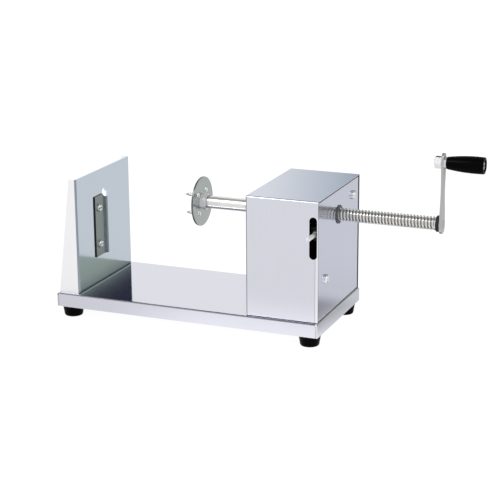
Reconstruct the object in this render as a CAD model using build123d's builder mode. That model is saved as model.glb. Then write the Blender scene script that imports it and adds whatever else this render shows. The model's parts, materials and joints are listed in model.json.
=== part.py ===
"""Hand cranked spiral slicer.

A lead screw in a half nut turns and feeds a pronged disc towards a fixed blade on an upright.

Millimetres, +Z up. The origin is where the base's centre meets the surface that it stands on, +X runs
along the lead screw towards the crank, and -Y is the front, where the lever's pin comes out.
"""

from build123d import *
from math import atan2, ceil, cos, hypot, pi, radians, sin, tan
import os

os.makedirs("parts", exist_ok=True)

# ------------------------------------------------------------------ driving dimensions
# Base tray and feet
base_length = 260.0
base_width = 118.0
tray_skirt = 13.0
tray_sheet = 1.2
tray_bend = 1.5
tray_lip = 22.0
corner_slit = 0.4
corner_relief = 2.4
foot_inset = 11.0
foot_height = 10.5
foot_top_diameter = 20.5
foot_base_diameter = 17.0
foot_recess_diameter = 9.5
foot_recess_depth = 5.5
foot_rounding = 1.2

# Lead screw
axis_below_cover_top = 24.6
screw_diameter = 12.0
screw_pitch = 3.0
thread_depth = 1.5
thread_flank = 15.0
thread_length = 154.5
thread_end_from_arm = 4.5
skewer_bore_diameter = 6.2
skewer_bore_depth = 64.0

# Pronged disc
disc_diameter = 46.0
disc_thickness = 1.5
disc_from_cover = 66.7
disc_seat_diameter = 10.0
prong_count = 4
prong_radius = 12.5
prong_phase = 50.0
prong_diameter = 3.0
prong_length = 12.0
prong_point = 4.0
prong_tail_diameter = 5.6
prong_tail_height = 1.3
prong_tail_crown_diameter = 2.8
hub_diameter = 14.6
hub_length = 5.0
hub_screw_diameter = 3.0
hub_screw_socket = 1.5
hub_screw_angle = -115.0
hub_screw_bite = 1.0
hub_screw_sunk = 0.2

# Blade stand
stand_from_end = 21.8
stand_from_side = 4.5
stand_below_cover_top = 1.1
stand_sheet = 1.5
stand_bend = 1.8
stand_flange_foot = 21.3
stand_flange_top = 7.5
stand_slit = 0.5
stand_screw_from_side = 18.5
slice_slot_width = 10.0
slice_slot_from_heel = 0.4
slice_slot_from_end = 1.6
guide_hole_diameter = 7.4

# Slicing blade
blade_length = 59.0
blade_base_width = 17.2
blade_edge_run = 4.8
blade_sheet = 1.0
blade_bevel = 2.2
blade_heel = -3.4
blade_top_drop = 0.8
blade_notch_radius = 4.2
blade_screw_spacing = 35.6
blade_screw_from_heel = 9.3

# Housing: the drive frame and its cover
cover_from_end = 0.5
cover_from_side = 2.0
cover_length = 67.5
cover_height = 110.6
cover_sheet = 1.2
cover_bend = 1.4
cover_lip = 10.0
cover_gap = 0.8
frame_sheet = 1.5
frame_inset = 0.5
frame_bend = 2.0
frame_screw_from_wall = 12.0
frame_screw_from_edge = 11.0
cover_screw_from_wall = 14.0
slot_width = 7.2
slot_from_right = 4.5
slot_above_axis = 10.7
slot_below_axis = 27.4

# Bushes
bush_body_diameter = 14.2
bush_flange_diameter = 17.0
bush_flange_thickness = 0.8
bush_inside = 4.0
bush_clearance = 0.15
ring_diameter = 19.0
ring_thickness = 0.8

# Lever and half nut
pivot_from_cover = 17.1
pivot_over_axis = 8.8
pivot_boss_radius = 8.0
spacer_diameter = 9.0
lever_sheet = 2.0
lever_from_wall = 5.5
lever_notch_radius = 7.6
lever_over_nut = 1.7
lever_front_height = 12.0
lever_corner = 3.0
tab_from_cover = 8.5
tab_from_wall = 0.4
half_nut_length = 20.0
half_nut_width = 18.0
half_nut_height = 12.0
half_nut_over_axis = 2.0
half_nut_screw_spacing = 11.0
half_nut_screw_below_top = 3.6
thread_clearance = 0.25
pin_diameter = 4.0
pin_collar_diameter = 5.0
pin_collar_thickness = 1.2
pin_from_slot_middle = -0.4
pin_below_axis = 6.2
pin_reach = 13.6
pin_rounding = 1.6
anchor_from_cover = 20.4
anchor_below_axis = 50.6
post_diameter = 3.6
post_head_diameter = 6.0
post_head_height = 1.0
post_below_axis = 3.4

# Lever spring
spring_wire = 1.0
spring_diameter = 7.0
spring_turns = 12
spring_from_lever = 4.5
spring_loop_gap = 0.35
spring_lead = 2.0

# Crank
arm_from_wall = 94.0
arm_thickness = 2.2
arm_edge = 0.5
crank_radius = 55.0
arm_hub_width = 12.6
arm_waist_width = 7.0
arm_waist_height = 27.0
arm_tip_width = 9.4
arm_below_axis = 8.8
arm_past_grip = 8.5
tenon_width = 7.0
bumper_diameter = 14.6
bumper_thickness = 3.0
bumper_clearance = 0.2
bumper_from_arm = 0.4
grip_washer_diameter = 10.4
grip_washer_thickness = 2.0
grip_length = 33.0
grip_inner_diameter = 10.8
grip_swell_diameter = 13.8
grip_outer_diameter = 14.7
grip_swell_share = 0.35
grip_rounding = 1.2
grip_recess_depth = 3.4
grip_recess_diameter = 10.0
grip_play = 0.25

# Fasteners, as (shank diameter, head diameter, head height) and (across flats, height)
m3_screw = (3.0, 5.6, 2.0)
m4_screw = (4.0, 7.4, 2.4)
m5_screw = (5.0, 8.4, 2.7)
m6_spindle = (6.0, 9.0, 2.4)
m4_nut = (7.0, 3.2)
m5_nut = (8.0, 4.0)
m6_nut = (10.0, 6.0)
hole_clearance = 0.2
seat_clearance = 0.05
face_gap = 0.1
thread_past_nut = 1.0
drive_slot = 0.9
drive_slot_depth = 1.0
dome_share = 0.6

# ------------------------------------------------------------------ places that follow
tray_top = foot_height + tray_skirt
tray_under = tray_top - tray_sheet
lip_top = foot_height + tray_sheet
cover_top = tray_top + cover_height
axis_z = cover_top - axis_below_cover_top
half_length = base_length / 2
half_width = base_width / 2
foot_x = half_length - foot_inset
foot_y = half_width - foot_inset
foot_names = {
    (-1, -1): "front_left",
    (1, -1): "front_right",
    (-1, 1): "back_left",
    (1, 1): "back_right",
}
foot_places = [(x * foot_x, y * foot_y) for x, y in foot_names]

cover_right = half_length - cover_from_end
cover_left = cover_right - cover_length
cover_middle = (cover_left + cover_right) / 2
cover_width = base_width - 2 * cover_from_side
cover_front = -cover_width / 2
cover_inside = cover_width / 2 - cover_sheet
wall_left = cover_left + frame_inset
wall_right = cover_right - frame_inset
wall_left_inner = wall_left + frame_sheet
wall_inner = wall_right - frame_sheet
wall_half_width = cover_inside - cover_gap
wall_top = cover_top - cover_sheet - cover_gap
floor_top = tray_top + frame_sheet
floor_half_width = cover_inside - cover_lip - cover_gap
frame_screws_at = [
    (x, y * (floor_half_width - frame_screw_from_edge))
    for x in (wall_left_inner + frame_screw_from_wall, wall_inner - frame_screw_from_wall)
    for y in (-1, 1)
]
cover_screws_at = [
    (x, y * (cover_inside - cover_lip / 2))
    for x in (wall_left_inner + cover_screw_from_wall, wall_inner - cover_screw_from_wall)
    for y in (-1, 1)
]
slot_x = cover_right - slot_from_right
slot_middle_z = axis_z + (slot_above_axis - slot_below_axis) / 2

screw_radius = screw_diameter / 2
root_radius = screw_radius - thread_depth
arm_seat = wall_right + arm_from_wall
thread_end = arm_seat - thread_end_from_arm
thread_start = thread_end - thread_length
disc_back = cover_left - disc_from_cover
disc_front = disc_back - disc_thickness
hub_screw_turn = radians(hub_screw_angle)
hub_screw_out = Vector(0, cos(hub_screw_turn), sin(hub_screw_turn))
hub_screw_plane = Plane(
    origin=Vector(disc_back + hub_length / 2, 0, axis_z) + hub_screw_out * (screw_radius - hub_screw_bite),
    x_dir=(1, 0, 0),
    z_dir=hub_screw_out,
)

stand_face = stand_from_end - half_length
stand_width = base_width - 2 * stand_from_side
stand_back = stand_face - stand_sheet
stand_left = stand_face - stand_flange_foot
stand_top = cover_top - stand_below_cover_top
stand_screw_x = (stand_back + stand_left) / 2
stand_screws_at = [(stand_screw_x, y * (stand_width / 2 - stand_screw_from_side)) for y in (-1, 0, 1)]
blade_top = axis_z - blade_top_drop
blade_bottom = blade_top - blade_length
blade_screw_y = blade_heel - blade_screw_from_heel
blade_screws_at = [
    (blade_screw_y, (blade_top + blade_bottom + side * blade_screw_spacing) / 2) for side in (-1, 1)
]

lever_right = wall_inner - lever_from_wall
lever_left = lever_right - lever_sheet
pivot_y = cover_inside - pivot_from_cover
pivot_z = axis_z + pivot_over_axis
anchor_y = anchor_from_cover - cover_inside
anchor_z = axis_z - anchor_below_axis
post_z = axis_z - post_below_axis
pin_x = slot_x + pin_from_slot_middle
pin_z = axis_z - pin_below_axis
tab_front = cover_front + cover_sheet + tab_from_cover - lever_sheet
tab_back = tab_front + lever_sheet
half_nut_left = lever_left - half_nut_length
half_nut_bottom = axis_z + half_nut_over_axis
half_nut_top = half_nut_bottom + half_nut_height
half_nut_screws_at = [
    (side * half_nut_screw_spacing / 2, half_nut_top - half_nut_screw_below_top) for side in (-1, 1)
]
spring_x = lever_left - spring_from_lever
spring_loop_radius = m5_screw[0] / 2 + spring_loop_gap + spring_wire / 2

arm_outer = arm_seat + arm_thickness
bumper_right = arm_seat - bumper_from_arm
grip_z = axis_z + crank_radius
grip_start = arm_outer + grip_washer_thickness + grip_play
grip_end = grip_start + grip_length

up, down = (0, 0, 1), (0, 0, -1)
right, left = (1, 0, 0), (-1, 0, 0)
front = (0, -1, 0)


# ------------------------------------------------------------------ shared shapes
def facing(direction, x, y, z):
    """A sketch plane at a point, facing along a row axis. Facing right or left, its x runs along Y."""
    across = (0, 1, 0) if direction in (right, left) else (1, 0, 0)
    return Plane(origin=(x, y, z), x_dir=across, z_dir=direction)


def side_plane(x):
    """A sketch plane square to the lead screw, whose x is the row's Y and whose y is the row's Z."""
    return Plane.YZ.offset(x)


def pan_screw(seat, sizes, length, slotted=True):
    """A domed screw: its head stands on the seat plane and its shank runs down below it."""
    shank, head, height = sizes
    with BuildPart() as screw:
        with BuildSketch(seat):
            Circle(head / 2)
        extrude(amount=height)
        fillet(screw.faces().sort_by(Axis(seat.origin, seat.z_dir))[-1].edges(), height * dome_share)
        with BuildSketch(seat):
            Circle(shank / 2)
        extrude(amount=-length)
        if slotted:
            with BuildSketch(seat.offset(height)):
                Rectangle(head + drive_slot, drive_slot)
            extrude(amount=-drive_slot_depth, mode=Mode.SUBTRACT)
    return screw.part


def hex_nut(seat, sizes, shank):
    """A hexagon nut that stands on the seat plane, bored to clear the shank."""
    across_flats, height = sizes
    with BuildPart() as nut:
        with BuildSketch(seat):
            RegularPolygon(across_flats / 2, 6, major_radius=False)
            Circle(shank / 2 + seat_clearance, mode=Mode.SUBTRACT)
        extrude(amount=height)
    return nut.part


def thread_section(grow):
    """The section of a single start thread, square to its axis: land, flank, groove and flank.

    The land is an arc at the outer radius and the flanks wind in to the root. grow moves every face of
    the thread outwards, as the groove in a nut needs.
    """
    outer, root = screw_radius + grow, root_radius + grow
    flank = thread_depth * tan(radians(thread_flank))
    land = screw_pitch / 2 - flank + 2 * grow
    land_half = land * pi / screw_pitch
    root_half = (land + 2 * flank) * pi / screw_pitch
    middle, half_way = (outer + root) / 2, (land_half + root_half) / 2

    def at(radius, angle):
        return (radius * cos(angle), radius * sin(angle))

    with BuildSketch() as section:
        with BuildLine():
            ThreePointArc(at(outer, -land_half), (outer, 0), at(outer, land_half))
            ThreePointArc(at(outer, land_half), at(middle, half_way), at(root, root_half))
            ThreePointArc(at(root, root_half), (-root, 0), at(root, -root_half))
            ThreePointArc(at(root, -root_half), at(middle, -half_way), at(outer, -land_half))
        make_face()
    return section.sketch.face()


def thread_rod(start, end, grow=0.0):
    """A right hand thread along the lead screw's axis, whose turn is counted from x = 0.

    It is made in stretches of up to one turn, whose flanks are sewn into one skin.
    """
    stretches = ceil((end - start) / screw_pitch)
    step = (end - start) / stretches
    skin = []
    for number in range(stretches):
        x = start + number * step
        stretch = Solid.extrude_linear_with_rotation(
            thread_section(grow), (0, 0, 0), (0, 0, step), 360 * step / screw_pitch
        )
        at_start = Plane(origin=(x, 0, axis_z), x_dir=(0, 1, 0), z_dir=(1, 0, 0))
        stretch = stretch.moved(at_start.location * Rotation(0, 0, 360 * x / screw_pitch))
        first, *flanks, last = stretch.faces().sort_by(Axis.X)
        skin += flanks
        if number == 0:
            skin.append(first)
        if number == stretches - 1:
            skin.append(last)
    return Solid(Shell(skin))


# ------------------------------------------------------------------ base tray and its feet
with BuildPart() as base_tray:
    with BuildSketch(Plane.XY.offset(foot_height)):
        Rectangle(base_length, base_width)
    extrude(amount=tray_skirt)
    fillet(base_tray.faces().sort_by(Axis.Z)[-1].edges(), tray_bend)
    with BuildSketch(Plane.XY.offset(lip_top)):
        Rectangle(base_length - 2 * tray_sheet, base_width - 2 * tray_sheet)
    extrude(amount=tray_under - lip_top, mode=Mode.SUBTRACT)
    with BuildSketch(Plane.XY.offset(foot_height)):
        Rectangle(base_length - 2 * tray_sheet, base_width - 2 * tray_lip)
    extrude(amount=tray_sheet, mode=Mode.SUBTRACT)
    # The four skirts part at the corners: a slit beside each end skirt, with a relief hole over it.
    with BuildSketch(Plane.XY.offset(foot_height)):
        with GridLocations(
            base_length - 2 * tray_sheet - corner_slit, base_width - tray_lip, 2, 2
        ):
            Rectangle(corner_slit, tray_lip)
    extrude(amount=tray_skirt - tray_sheet, mode=Mode.SUBTRACT)
    with BuildSketch(Plane.XY.offset(tray_top)):
        with GridLocations(
            base_length - 2 * tray_sheet - corner_slit, base_width - corner_relief / 2, 2, 2
        ):
            Circle(corner_relief / 2)
    extrude(amount=-corner_relief, mode=Mode.SUBTRACT)
    with BuildSketch(Plane.XY.offset(foot_height)):
        with Locations(*foot_places):
            Circle(m4_screw[0] / 2 + hole_clearance)
    extrude(amount=tray_sheet, mode=Mode.SUBTRACT)
    with BuildSketch(Plane.XY.offset(tray_top)):
        with Locations(*stand_screws_at, *frame_screws_at, *cover_screws_at):
            Circle(m4_screw[0] / 2 + hole_clearance)
    extrude(amount=-tray_sheet, mode=Mode.SUBTRACT)
base_tray.part.label = "base_tray"
export_step(base_tray.part, "parts/base_tray.step")

for (side_x, side_y), corner in foot_names.items():
    foot_centre = (side_x * foot_x, side_y * foot_y)
    with BuildPart() as foot:
        with BuildSketch(Plane.XY):
            with Locations(foot_centre):
                Circle(foot_base_diameter / 2)
        with BuildSketch(Plane.XY.offset(foot_height)):
            with Locations(foot_centre):
                Circle(foot_top_diameter / 2)
        loft()
        fillet(foot.faces().sort_by(Axis.Z)[0].edges(), foot_rounding)
        with BuildSketch(Plane.XY):
            with Locations(foot_centre):
                Circle(foot_recess_diameter / 2)
        extrude(amount=foot_recess_depth, mode=Mode.SUBTRACT)
        with BuildSketch(Plane.XY.offset(foot_recess_depth)):
            with Locations(foot_centre):
                Circle(m4_screw[0] / 2 + hole_clearance)
        extrude(amount=foot_height - foot_recess_depth, mode=Mode.SUBTRACT)
    foot.part.label = "foot_" + corner
    export_step(foot.part, "parts/foot_" + corner + ".step")

foot_grip_length = lip_top - foot_recess_depth + m4_nut[1] + thread_past_nut
with BuildPart() as foot_screws:
    for x, y in foot_places:
        add(pan_screw(facing(down, x, y, foot_recess_depth), m4_screw, foot_grip_length))
foot_screws.part.label = "foot_screws"
export_step(foot_screws.part, "parts/foot_screws.step")

with BuildPart() as foot_nuts:
    for x, y in foot_places:
        add(hex_nut(facing(up, x, y, lip_top), m4_nut, m4_screw[0]))
foot_nuts.part.label = "foot_nuts"
export_step(foot_nuts.part, "parts/foot_nuts.step")

# ------------------------------------------------------------------ blade stand
# One sheet: the web that faces the food, two side flanges that taper upwards, and a foot.
with BuildPart() as blade_stand:
    with BuildSketch(Plane.XZ):
        with BuildLine():
            Polyline(
                (stand_left, tray_top),
                (stand_face, tray_top),
                (stand_face, stand_top),
                (stand_face - stand_flange_top, stand_top),
                close=True,
            )
        make_face()
    extrude(amount=stand_width / 2, both=True)
    bends = blade_stand.faces().sort_by(Axis.X)[-1].edges()
    fillet(bends.filter_by(Axis.Z) + bends.filter_by(Axis.Y).sort_by(Axis.Z)[:1], stand_bend)
    with BuildSketch(Plane.XY.offset(tray_top + stand_sheet)):
        with Locations((stand_back - stand_flange_foot / 2, 0)):
            Rectangle(stand_flange_foot, stand_width - 2 * stand_sheet)
    extrude(amount=stand_top - tray_top, mode=Mode.SUBTRACT)
    with BuildSketch(Plane.XY.offset(tray_top)):
        with Locations((stand_back - stand_flange_foot / 2, 0)):
            with GridLocations(0, stand_width - 2 * stand_sheet - stand_slit, 1, 2):
                Rectangle(stand_flange_foot, stand_slit)
    extrude(amount=stand_sheet, mode=Mode.SUBTRACT)
    # The way out for the slices joins the guide hole on the lead screw's axis.
    slot_bottom = blade_bottom + slice_slot_from_end
    with BuildSketch(side_plane(stand_face)):
        with Locations((0, axis_z)):
            Circle(guide_hole_diameter / 2)
        with Locations((blade_heel + slice_slot_from_heel, slot_bottom)):
            Rectangle(slice_slot_width, axis_z - slot_bottom, align=(Align.MIN, Align.MIN))
    extrude(amount=-stand_sheet, mode=Mode.SUBTRACT)
    with BuildSketch(side_plane(stand_face)):
        with Locations(*blade_screws_at):
            Circle(m4_screw[0] / 2 + hole_clearance)
    extrude(amount=-stand_sheet, mode=Mode.SUBTRACT)
    with BuildSketch(Plane.XY.offset(tray_top)):
        with Locations(*stand_screws_at):
            Circle(m4_screw[0] / 2 + hole_clearance)
    extrude(amount=stand_sheet, mode=Mode.SUBTRACT)
blade_stand.part.label = "blade_stand"
export_step(blade_stand.part, "parts/blade_stand.step")

stand_grip_length = stand_sheet + tray_sheet + m4_nut[1] + thread_past_nut
with BuildPart() as stand_screws:
    for x, y in stand_screws_at:
        add(pan_screw(facing(up, x, y, tray_top + stand_sheet), m4_screw, stand_grip_length))
stand_screws.part.label = "stand_screws"
export_step(stand_screws.part, "parts/stand_screws.step")

with BuildPart() as stand_nuts:
    for x, y in stand_screws_at:
        add(hex_nut(facing(down, x, y, tray_under), m4_nut, m4_screw[0]))
stand_nuts.part.label = "stand_nuts"
export_step(stand_nuts.part, "parts/stand_nuts.step")

# ------------------------------------------------------------------ slicing blade
# The blade's front strip stands off the web by one pitch, which is the thickness of a slice.
edge_rise = screw_pitch
edge_tilt = atan2(edge_rise, blade_edge_run)
strip_length = hypot(edge_rise, blade_edge_run)
bevel_start = strip_length - blade_bevel
with BuildPart() as slicing_blade:
    with BuildSketch(Plane.XY.offset(blade_bottom)):
        with BuildLine():
            Polyline(
                (stand_face, blade_heel - blade_base_width),
                (stand_face, blade_heel),
                (stand_face + edge_rise, blade_heel + blade_edge_run),
                (
                    stand_face + bevel_start * sin(edge_tilt) + blade_sheet * cos(edge_tilt),
                    blade_heel + bevel_start * cos(edge_tilt) - blade_sheet * sin(edge_tilt),
                ),
                (stand_face + blade_sheet, blade_heel - blade_sheet * tan(edge_tilt / 2)),
                (stand_face + blade_sheet, blade_heel - blade_base_width),
                close=True,
            )
        make_face()
    extrude(amount=blade_length)
    with BuildSketch(side_plane(stand_face)):
        with Locations((0, axis_z)):
            Circle(blade_notch_radius)
        with Locations(*blade_screws_at):
            Circle(m4_screw[0] / 2 + hole_clearance)
    extrude(amount=edge_rise + 2 * blade_sheet, mode=Mode.SUBTRACT)
slicing_blade.part.label = "slicing_blade"
export_step(slicing_blade.part, "parts/slicing_blade.step")

blade_grip_length = blade_sheet + stand_sheet + m4_nut[1] + thread_past_nut
with BuildPart() as blade_screws:
    for y, z in blade_screws_at:
        add(pan_screw(facing(right, stand_face + blade_sheet, y, z), m4_screw, blade_grip_length))
blade_screws.part.label = "blade_screws"
export_step(blade_screws.part, "parts/blade_screws.step")

with BuildPart() as blade_nuts:
    for y, z in blade_screws_at:
        add(hex_nut(facing(left, stand_back, y, z), m4_nut, m4_screw[0]))
blade_nuts.part.label = "blade_nuts"
export_step(blade_nuts.part, "parts/blade_nuts.step")

# ------------------------------------------------------------------ drive frame
# A channel whose walls carry the lead screw's bushes and, on the right, the lever.
with BuildPart() as drive_frame:
    with BuildSketch(Plane.XZ):
        with Locations(((wall_left + wall_right) / 2, (tray_top + wall_top) / 2)):
            Rectangle(wall_right - wall_left, wall_top - tray_top)
    extrude(amount=wall_half_width, both=True)
    fillet(drive_frame.faces().sort_by(Axis.Z)[0].edges().filter_by(Axis.Y), frame_bend)
    with BuildSketch(Plane.XY.offset(wall_top)):
        with Locations(((wall_left_inner + wall_inner) / 2, 0)):
            Rectangle(wall_inner - wall_left_inner, 2 * wall_half_width)
    extrude(amount=floor_top - wall_top, mode=Mode.SUBTRACT)
    with BuildSketch(Plane.XY.offset(tray_top)):
        with Locations(((wall_left_inner + wall_inner) / 2, 0)):
            Rectangle(wall_inner - wall_left_inner, 2 * wall_half_width)
            Rectangle(
                wall_inner - wall_left_inner, 2 * floor_half_width, mode=Mode.SUBTRACT
            )
    extrude(amount=frame_sheet, mode=Mode.SUBTRACT)
    with BuildSketch(Plane.XY.offset(tray_top)):
        with Locations(*frame_screws_at):
            Circle(m4_screw[0] / 2 + hole_clearance)
    extrude(amount=frame_sheet, mode=Mode.SUBTRACT)
    with BuildSketch(side_plane(wall_left)):
        with Locations((0, axis_z)):
            Circle(bush_body_diameter / 2 + seat_clearance)
    extrude(amount=wall_right - wall_left, mode=Mode.SUBTRACT)
    with BuildSketch(side_plane(wall_inner)):
        with Locations((pivot_y, pivot_z), (anchor_y, anchor_z)):
            Circle(m5_screw[0] / 2 + hole_clearance)
    extrude(amount=frame_sheet, mode=Mode.SUBTRACT)
drive_frame.part.label = "drive_frame"
export_step(drive_frame.part, "parts/drive_frame.step")

frame_grip_length = tray_sheet + frame_sheet + m4_nut[1] + thread_past_nut
with BuildPart() as frame_screws:
    for x, y in frame_screws_at:
        add(pan_screw(facing(down, x, y, tray_under), m4_screw, frame_grip_length))
frame_screws.part.label = "frame_screws"
export_step(frame_screws.part, "parts/frame_screws.step")

with BuildPart() as frame_nuts:
    for x, y in frame_screws_at:
        add(hex_nut(facing(up, x, y, floor_top), m4_nut, m4_screw[0]))
frame_nuts.part.label = "frame_nuts"
export_step(frame_nuts.part, "parts/frame_nuts.step")

# ------------------------------------------------------------------ housing cover
# One sheet over the front, top and back, open at both ends, with a lip along each bottom edge.
lip_cut = wall_left_inner + cover_gap - cover_left
with BuildPart() as housing_cover:
    with BuildSketch(Plane.YZ.offset(cover_left)):
        with Locations((0, (tray_top + cover_top) / 2)):
            Rectangle(cover_width, cover_height)
    extrude(amount=cover_length)
    fillet(housing_cover.edges().filter_by(Axis.X), cover_bend)
    with BuildSketch(Plane.YZ.offset(cover_left)):
        with Locations((0, (tray_top + cover_top) / 2)):
            Rectangle(2 * cover_inside, cover_height - 2 * cover_sheet)
        with Locations((0, tray_top)):
            Rectangle(2 * (cover_inside - cover_lip), 2 * cover_sheet)
    extrude(amount=cover_length, mode=Mode.SUBTRACT)
    with BuildSketch(Plane.XY.offset(tray_top)):
        with Locations((cover_middle, 0)):
            with GridLocations(cover_length - lip_cut, 0, 2, 1):
                Rectangle(lip_cut, 2 * cover_inside)
    extrude(amount=cover_sheet, mode=Mode.SUBTRACT)
    with BuildSketch(facing(front, slot_x, cover_front, slot_middle_z)):
        SlotOverall(slot_above_axis + slot_below_axis, slot_width, rotation=90)
    extrude(amount=-cover_sheet, mode=Mode.SUBTRACT)
    with BuildSketch(Plane.XY.offset(tray_top)):
        with Locations(*cover_screws_at):
            Circle(m4_screw[0] / 2 + hole_clearance)
    extrude(amount=cover_sheet, mode=Mode.SUBTRACT)
housing_cover.part.label = "housing_cover"
export_step(housing_cover.part, "parts/housing_cover.step")

cover_grip_length = tray_sheet + cover_sheet + m4_nut[1]
with BuildPart() as cover_screws:
    for x, y in cover_screws_at:
        add(pan_screw(facing(down, x, y, tray_under), m4_screw, cover_grip_length))
cover_screws.part.label = "cover_screws"
export_step(cover_screws.part, "parts/cover_screws.step")

with BuildPart() as cover_weld_nuts:
    for x, y in cover_screws_at:
        add(hex_nut(facing(up, x, y, tray_top + cover_sheet), m4_nut, m4_screw[0]))
cover_weld_nuts.part.label = "cover_weld_nuts"
export_step(cover_weld_nuts.part, "parts/cover_weld_nuts.step")

# ------------------------------------------------------------------ bushes and their rings
for side, outward, wall in (("left", -1, wall_left), ("right", 1, wall_right)):
    bush_end = wall - outward * (frame_sheet + bush_inside)
    ring_seat = wall - outward * frame_sheet
    with BuildPart() as bush:
        with BuildSketch(side_plane(wall)):
            with Locations((0, axis_z)):
                Circle(bush_flange_diameter / 2)
        extrude(amount=outward * bush_flange_thickness)
        with BuildSketch(side_plane(bush_end)):
            with Locations((0, axis_z)):
                Circle(bush_body_diameter / 2)
        extrude(amount=wall - bush_end)
        with BuildSketch(side_plane(bush_end)):
            with Locations((0, axis_z)):
                Circle(screw_radius + bush_clearance)
        extrude(
            amount=wall - bush_end + outward * bush_flange_thickness, mode=Mode.SUBTRACT
        )
    bush.part.label = side + "_bush"
    export_step(bush.part, "parts/" + side + "_bush.step")

    with BuildPart() as bush_ring:
        with BuildSketch(side_plane(ring_seat)):
            with Locations((0, axis_z)):
                Circle(ring_diameter / 2)
                Circle(bush_body_diameter / 2 + seat_clearance, mode=Mode.SUBTRACT)
        extrude(amount=-outward * ring_thickness)
    bush_ring.part.label = side + "_bush_ring"
    export_step(bush_ring.part, "parts/" + side + "_bush_ring.step")

# ------------------------------------------------------------------ lever, half nut and pin
lever_top_over_nut = half_nut_top + lever_over_nut
nut_half_width = half_nut_width / 2
with BuildPart() as lever_plate:
    with BuildSketch(side_plane(lever_left)):
        with BuildLine():
            Polyline(
                (tab_back, pin_z - lever_front_height / 2),
                (-nut_half_width - lever_corner, half_nut_bottom),
                (nut_half_width + lever_corner, half_nut_bottom),
                (pivot_y, pivot_z - pivot_boss_radius),
                (pivot_y, pivot_z + pivot_boss_radius),
                (nut_half_width, lever_top_over_nut),
                (-nut_half_width, lever_top_over_nut),
                (tab_back, pin_z + lever_front_height / 2),
                close=True,
            )
        make_face()
        with Locations((pivot_y, pivot_z)):
            Circle(pivot_boss_radius)
        with Locations((0, axis_z)):
            Circle(lever_notch_radius, mode=Mode.SUBTRACT)
        with Locations((pivot_y, pivot_z)):
            Circle(m5_screw[0] / 2 + face_gap, mode=Mode.SUBTRACT)
        with Locations(*half_nut_screws_at):
            Circle(m3_screw[0] / 2 + hole_clearance, mode=Mode.SUBTRACT)
        with Locations((anchor_y, post_z)):
            Circle(post_diameter / 2 + seat_clearance, mode=Mode.SUBTRACT)
    extrude(amount=lever_sheet)
    # The tab that carries the pin is bent towards the wall.
    with BuildSketch(Plane.XZ.offset(-tab_front)):
        with Locations((lever_left, pin_z - lever_front_height / 2)):
            Rectangle(
                wall_inner - tab_from_wall - lever_left,
                lever_front_height,
                align=(Align.MIN, Align.MIN),
            )
    extrude(amount=-lever_sheet)
    with BuildSketch(Plane.XZ.offset(-tab_front)):
        with Locations((pin_x, pin_z)):
            Circle(pin_diameter / 2 + seat_clearance)
    extrude(amount=-lever_sheet, mode=Mode.SUBTRACT)
lever_plate.part.label = "lever_plate"
export_step(lever_plate.part, "parts/lever_plate.step")

with BuildPart() as half_nut:
    with BuildSketch(side_plane(half_nut_left)):
        with Locations((0, half_nut_bottom)):
            Rectangle(half_nut_width, half_nut_height, align=(Align.CENTER, Align.MIN))
    extrude(amount=half_nut_length)
    fillet(half_nut.faces().sort_by(Axis.Z)[-1].edges().filter_by(Axis.X), lever_corner)
    add(
        thread_rod(
            half_nut_left - screw_pitch, lever_left + screw_pitch, grow=thread_clearance
        ),
        mode=Mode.SUBTRACT,
    )
    with BuildSketch(side_plane(lever_left)):
        with Locations(*half_nut_screws_at):
            Circle(m3_screw[0] / 2 + seat_clearance)
    extrude(amount=-half_nut_length / 2, mode=Mode.SUBTRACT)
half_nut.part.label = "half_nut"
export_step(half_nut.part, "parts/half_nut.step")

half_nut_screw_length = lever_sheet + half_nut_length / 2 - thread_past_nut
with BuildPart() as half_nut_screws:
    for y, z in half_nut_screws_at:
        add(pan_screw(facing(right, lever_right, y, z), m3_screw, half_nut_screw_length))
half_nut_screws.part.label = "half_nut_screws"
export_step(half_nut_screws.part, "parts/half_nut_screws.step")

with BuildPart() as lever_pin:
    with BuildSketch(Plane.XZ.offset(-tab_back)):
        with Locations((pin_x, pin_z)):
            Circle(pin_diameter / 2)
    extrude(amount=tab_back - cover_front + pin_reach)
    fillet(lever_pin.faces().sort_by(Axis.Y)[0].edges(), pin_rounding)
    with BuildSketch(Plane.XZ.offset(-tab_front)):
        with Locations((pin_x, pin_z)):
            Circle(pin_collar_diameter / 2)
    extrude(amount=pin_collar_thickness)
    with BuildSketch(Plane.XZ.offset(-tab_back)):
        with Locations((pin_x, pin_z)):
            Circle(pin_collar_diameter / 2)
    extrude(amount=-pin_collar_thickness)
lever_pin.part.label = "lever_pin"
export_step(lever_pin.part, "parts/lever_pin.step")

pivot_nut_seat = lever_left - face_gap
pivot_grip_length = wall_right - pivot_nut_seat + m5_nut[1] + thread_past_nut
lever_pivot_bolt = pan_screw(
    facing(right, wall_right, pivot_y, pivot_z), m5_screw, pivot_grip_length, slotted=False
)
lever_pivot_bolt.label = "lever_pivot_bolt"
export_step(lever_pivot_bolt, "parts/lever_pivot_bolt.step")

pivot_nut = hex_nut(facing(left, pivot_nut_seat, pivot_y, pivot_z), m5_nut, m5_screw[0])
pivot_nut.label = "pivot_nut"
export_step(pivot_nut, "parts/pivot_nut.step")

with BuildPart() as pivot_spacer:
    with BuildSketch(side_plane(lever_right + face_gap)):
        with Locations((pivot_y, pivot_z)):
            Circle(spacer_diameter / 2)
            Circle(m5_screw[0] / 2 + seat_clearance, mode=Mode.SUBTRACT)
    extrude(amount=lever_from_wall - face_gap)
pivot_spacer.part.label = "pivot_spacer"
export_step(pivot_spacer.part, "parts/pivot_spacer.step")

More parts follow.
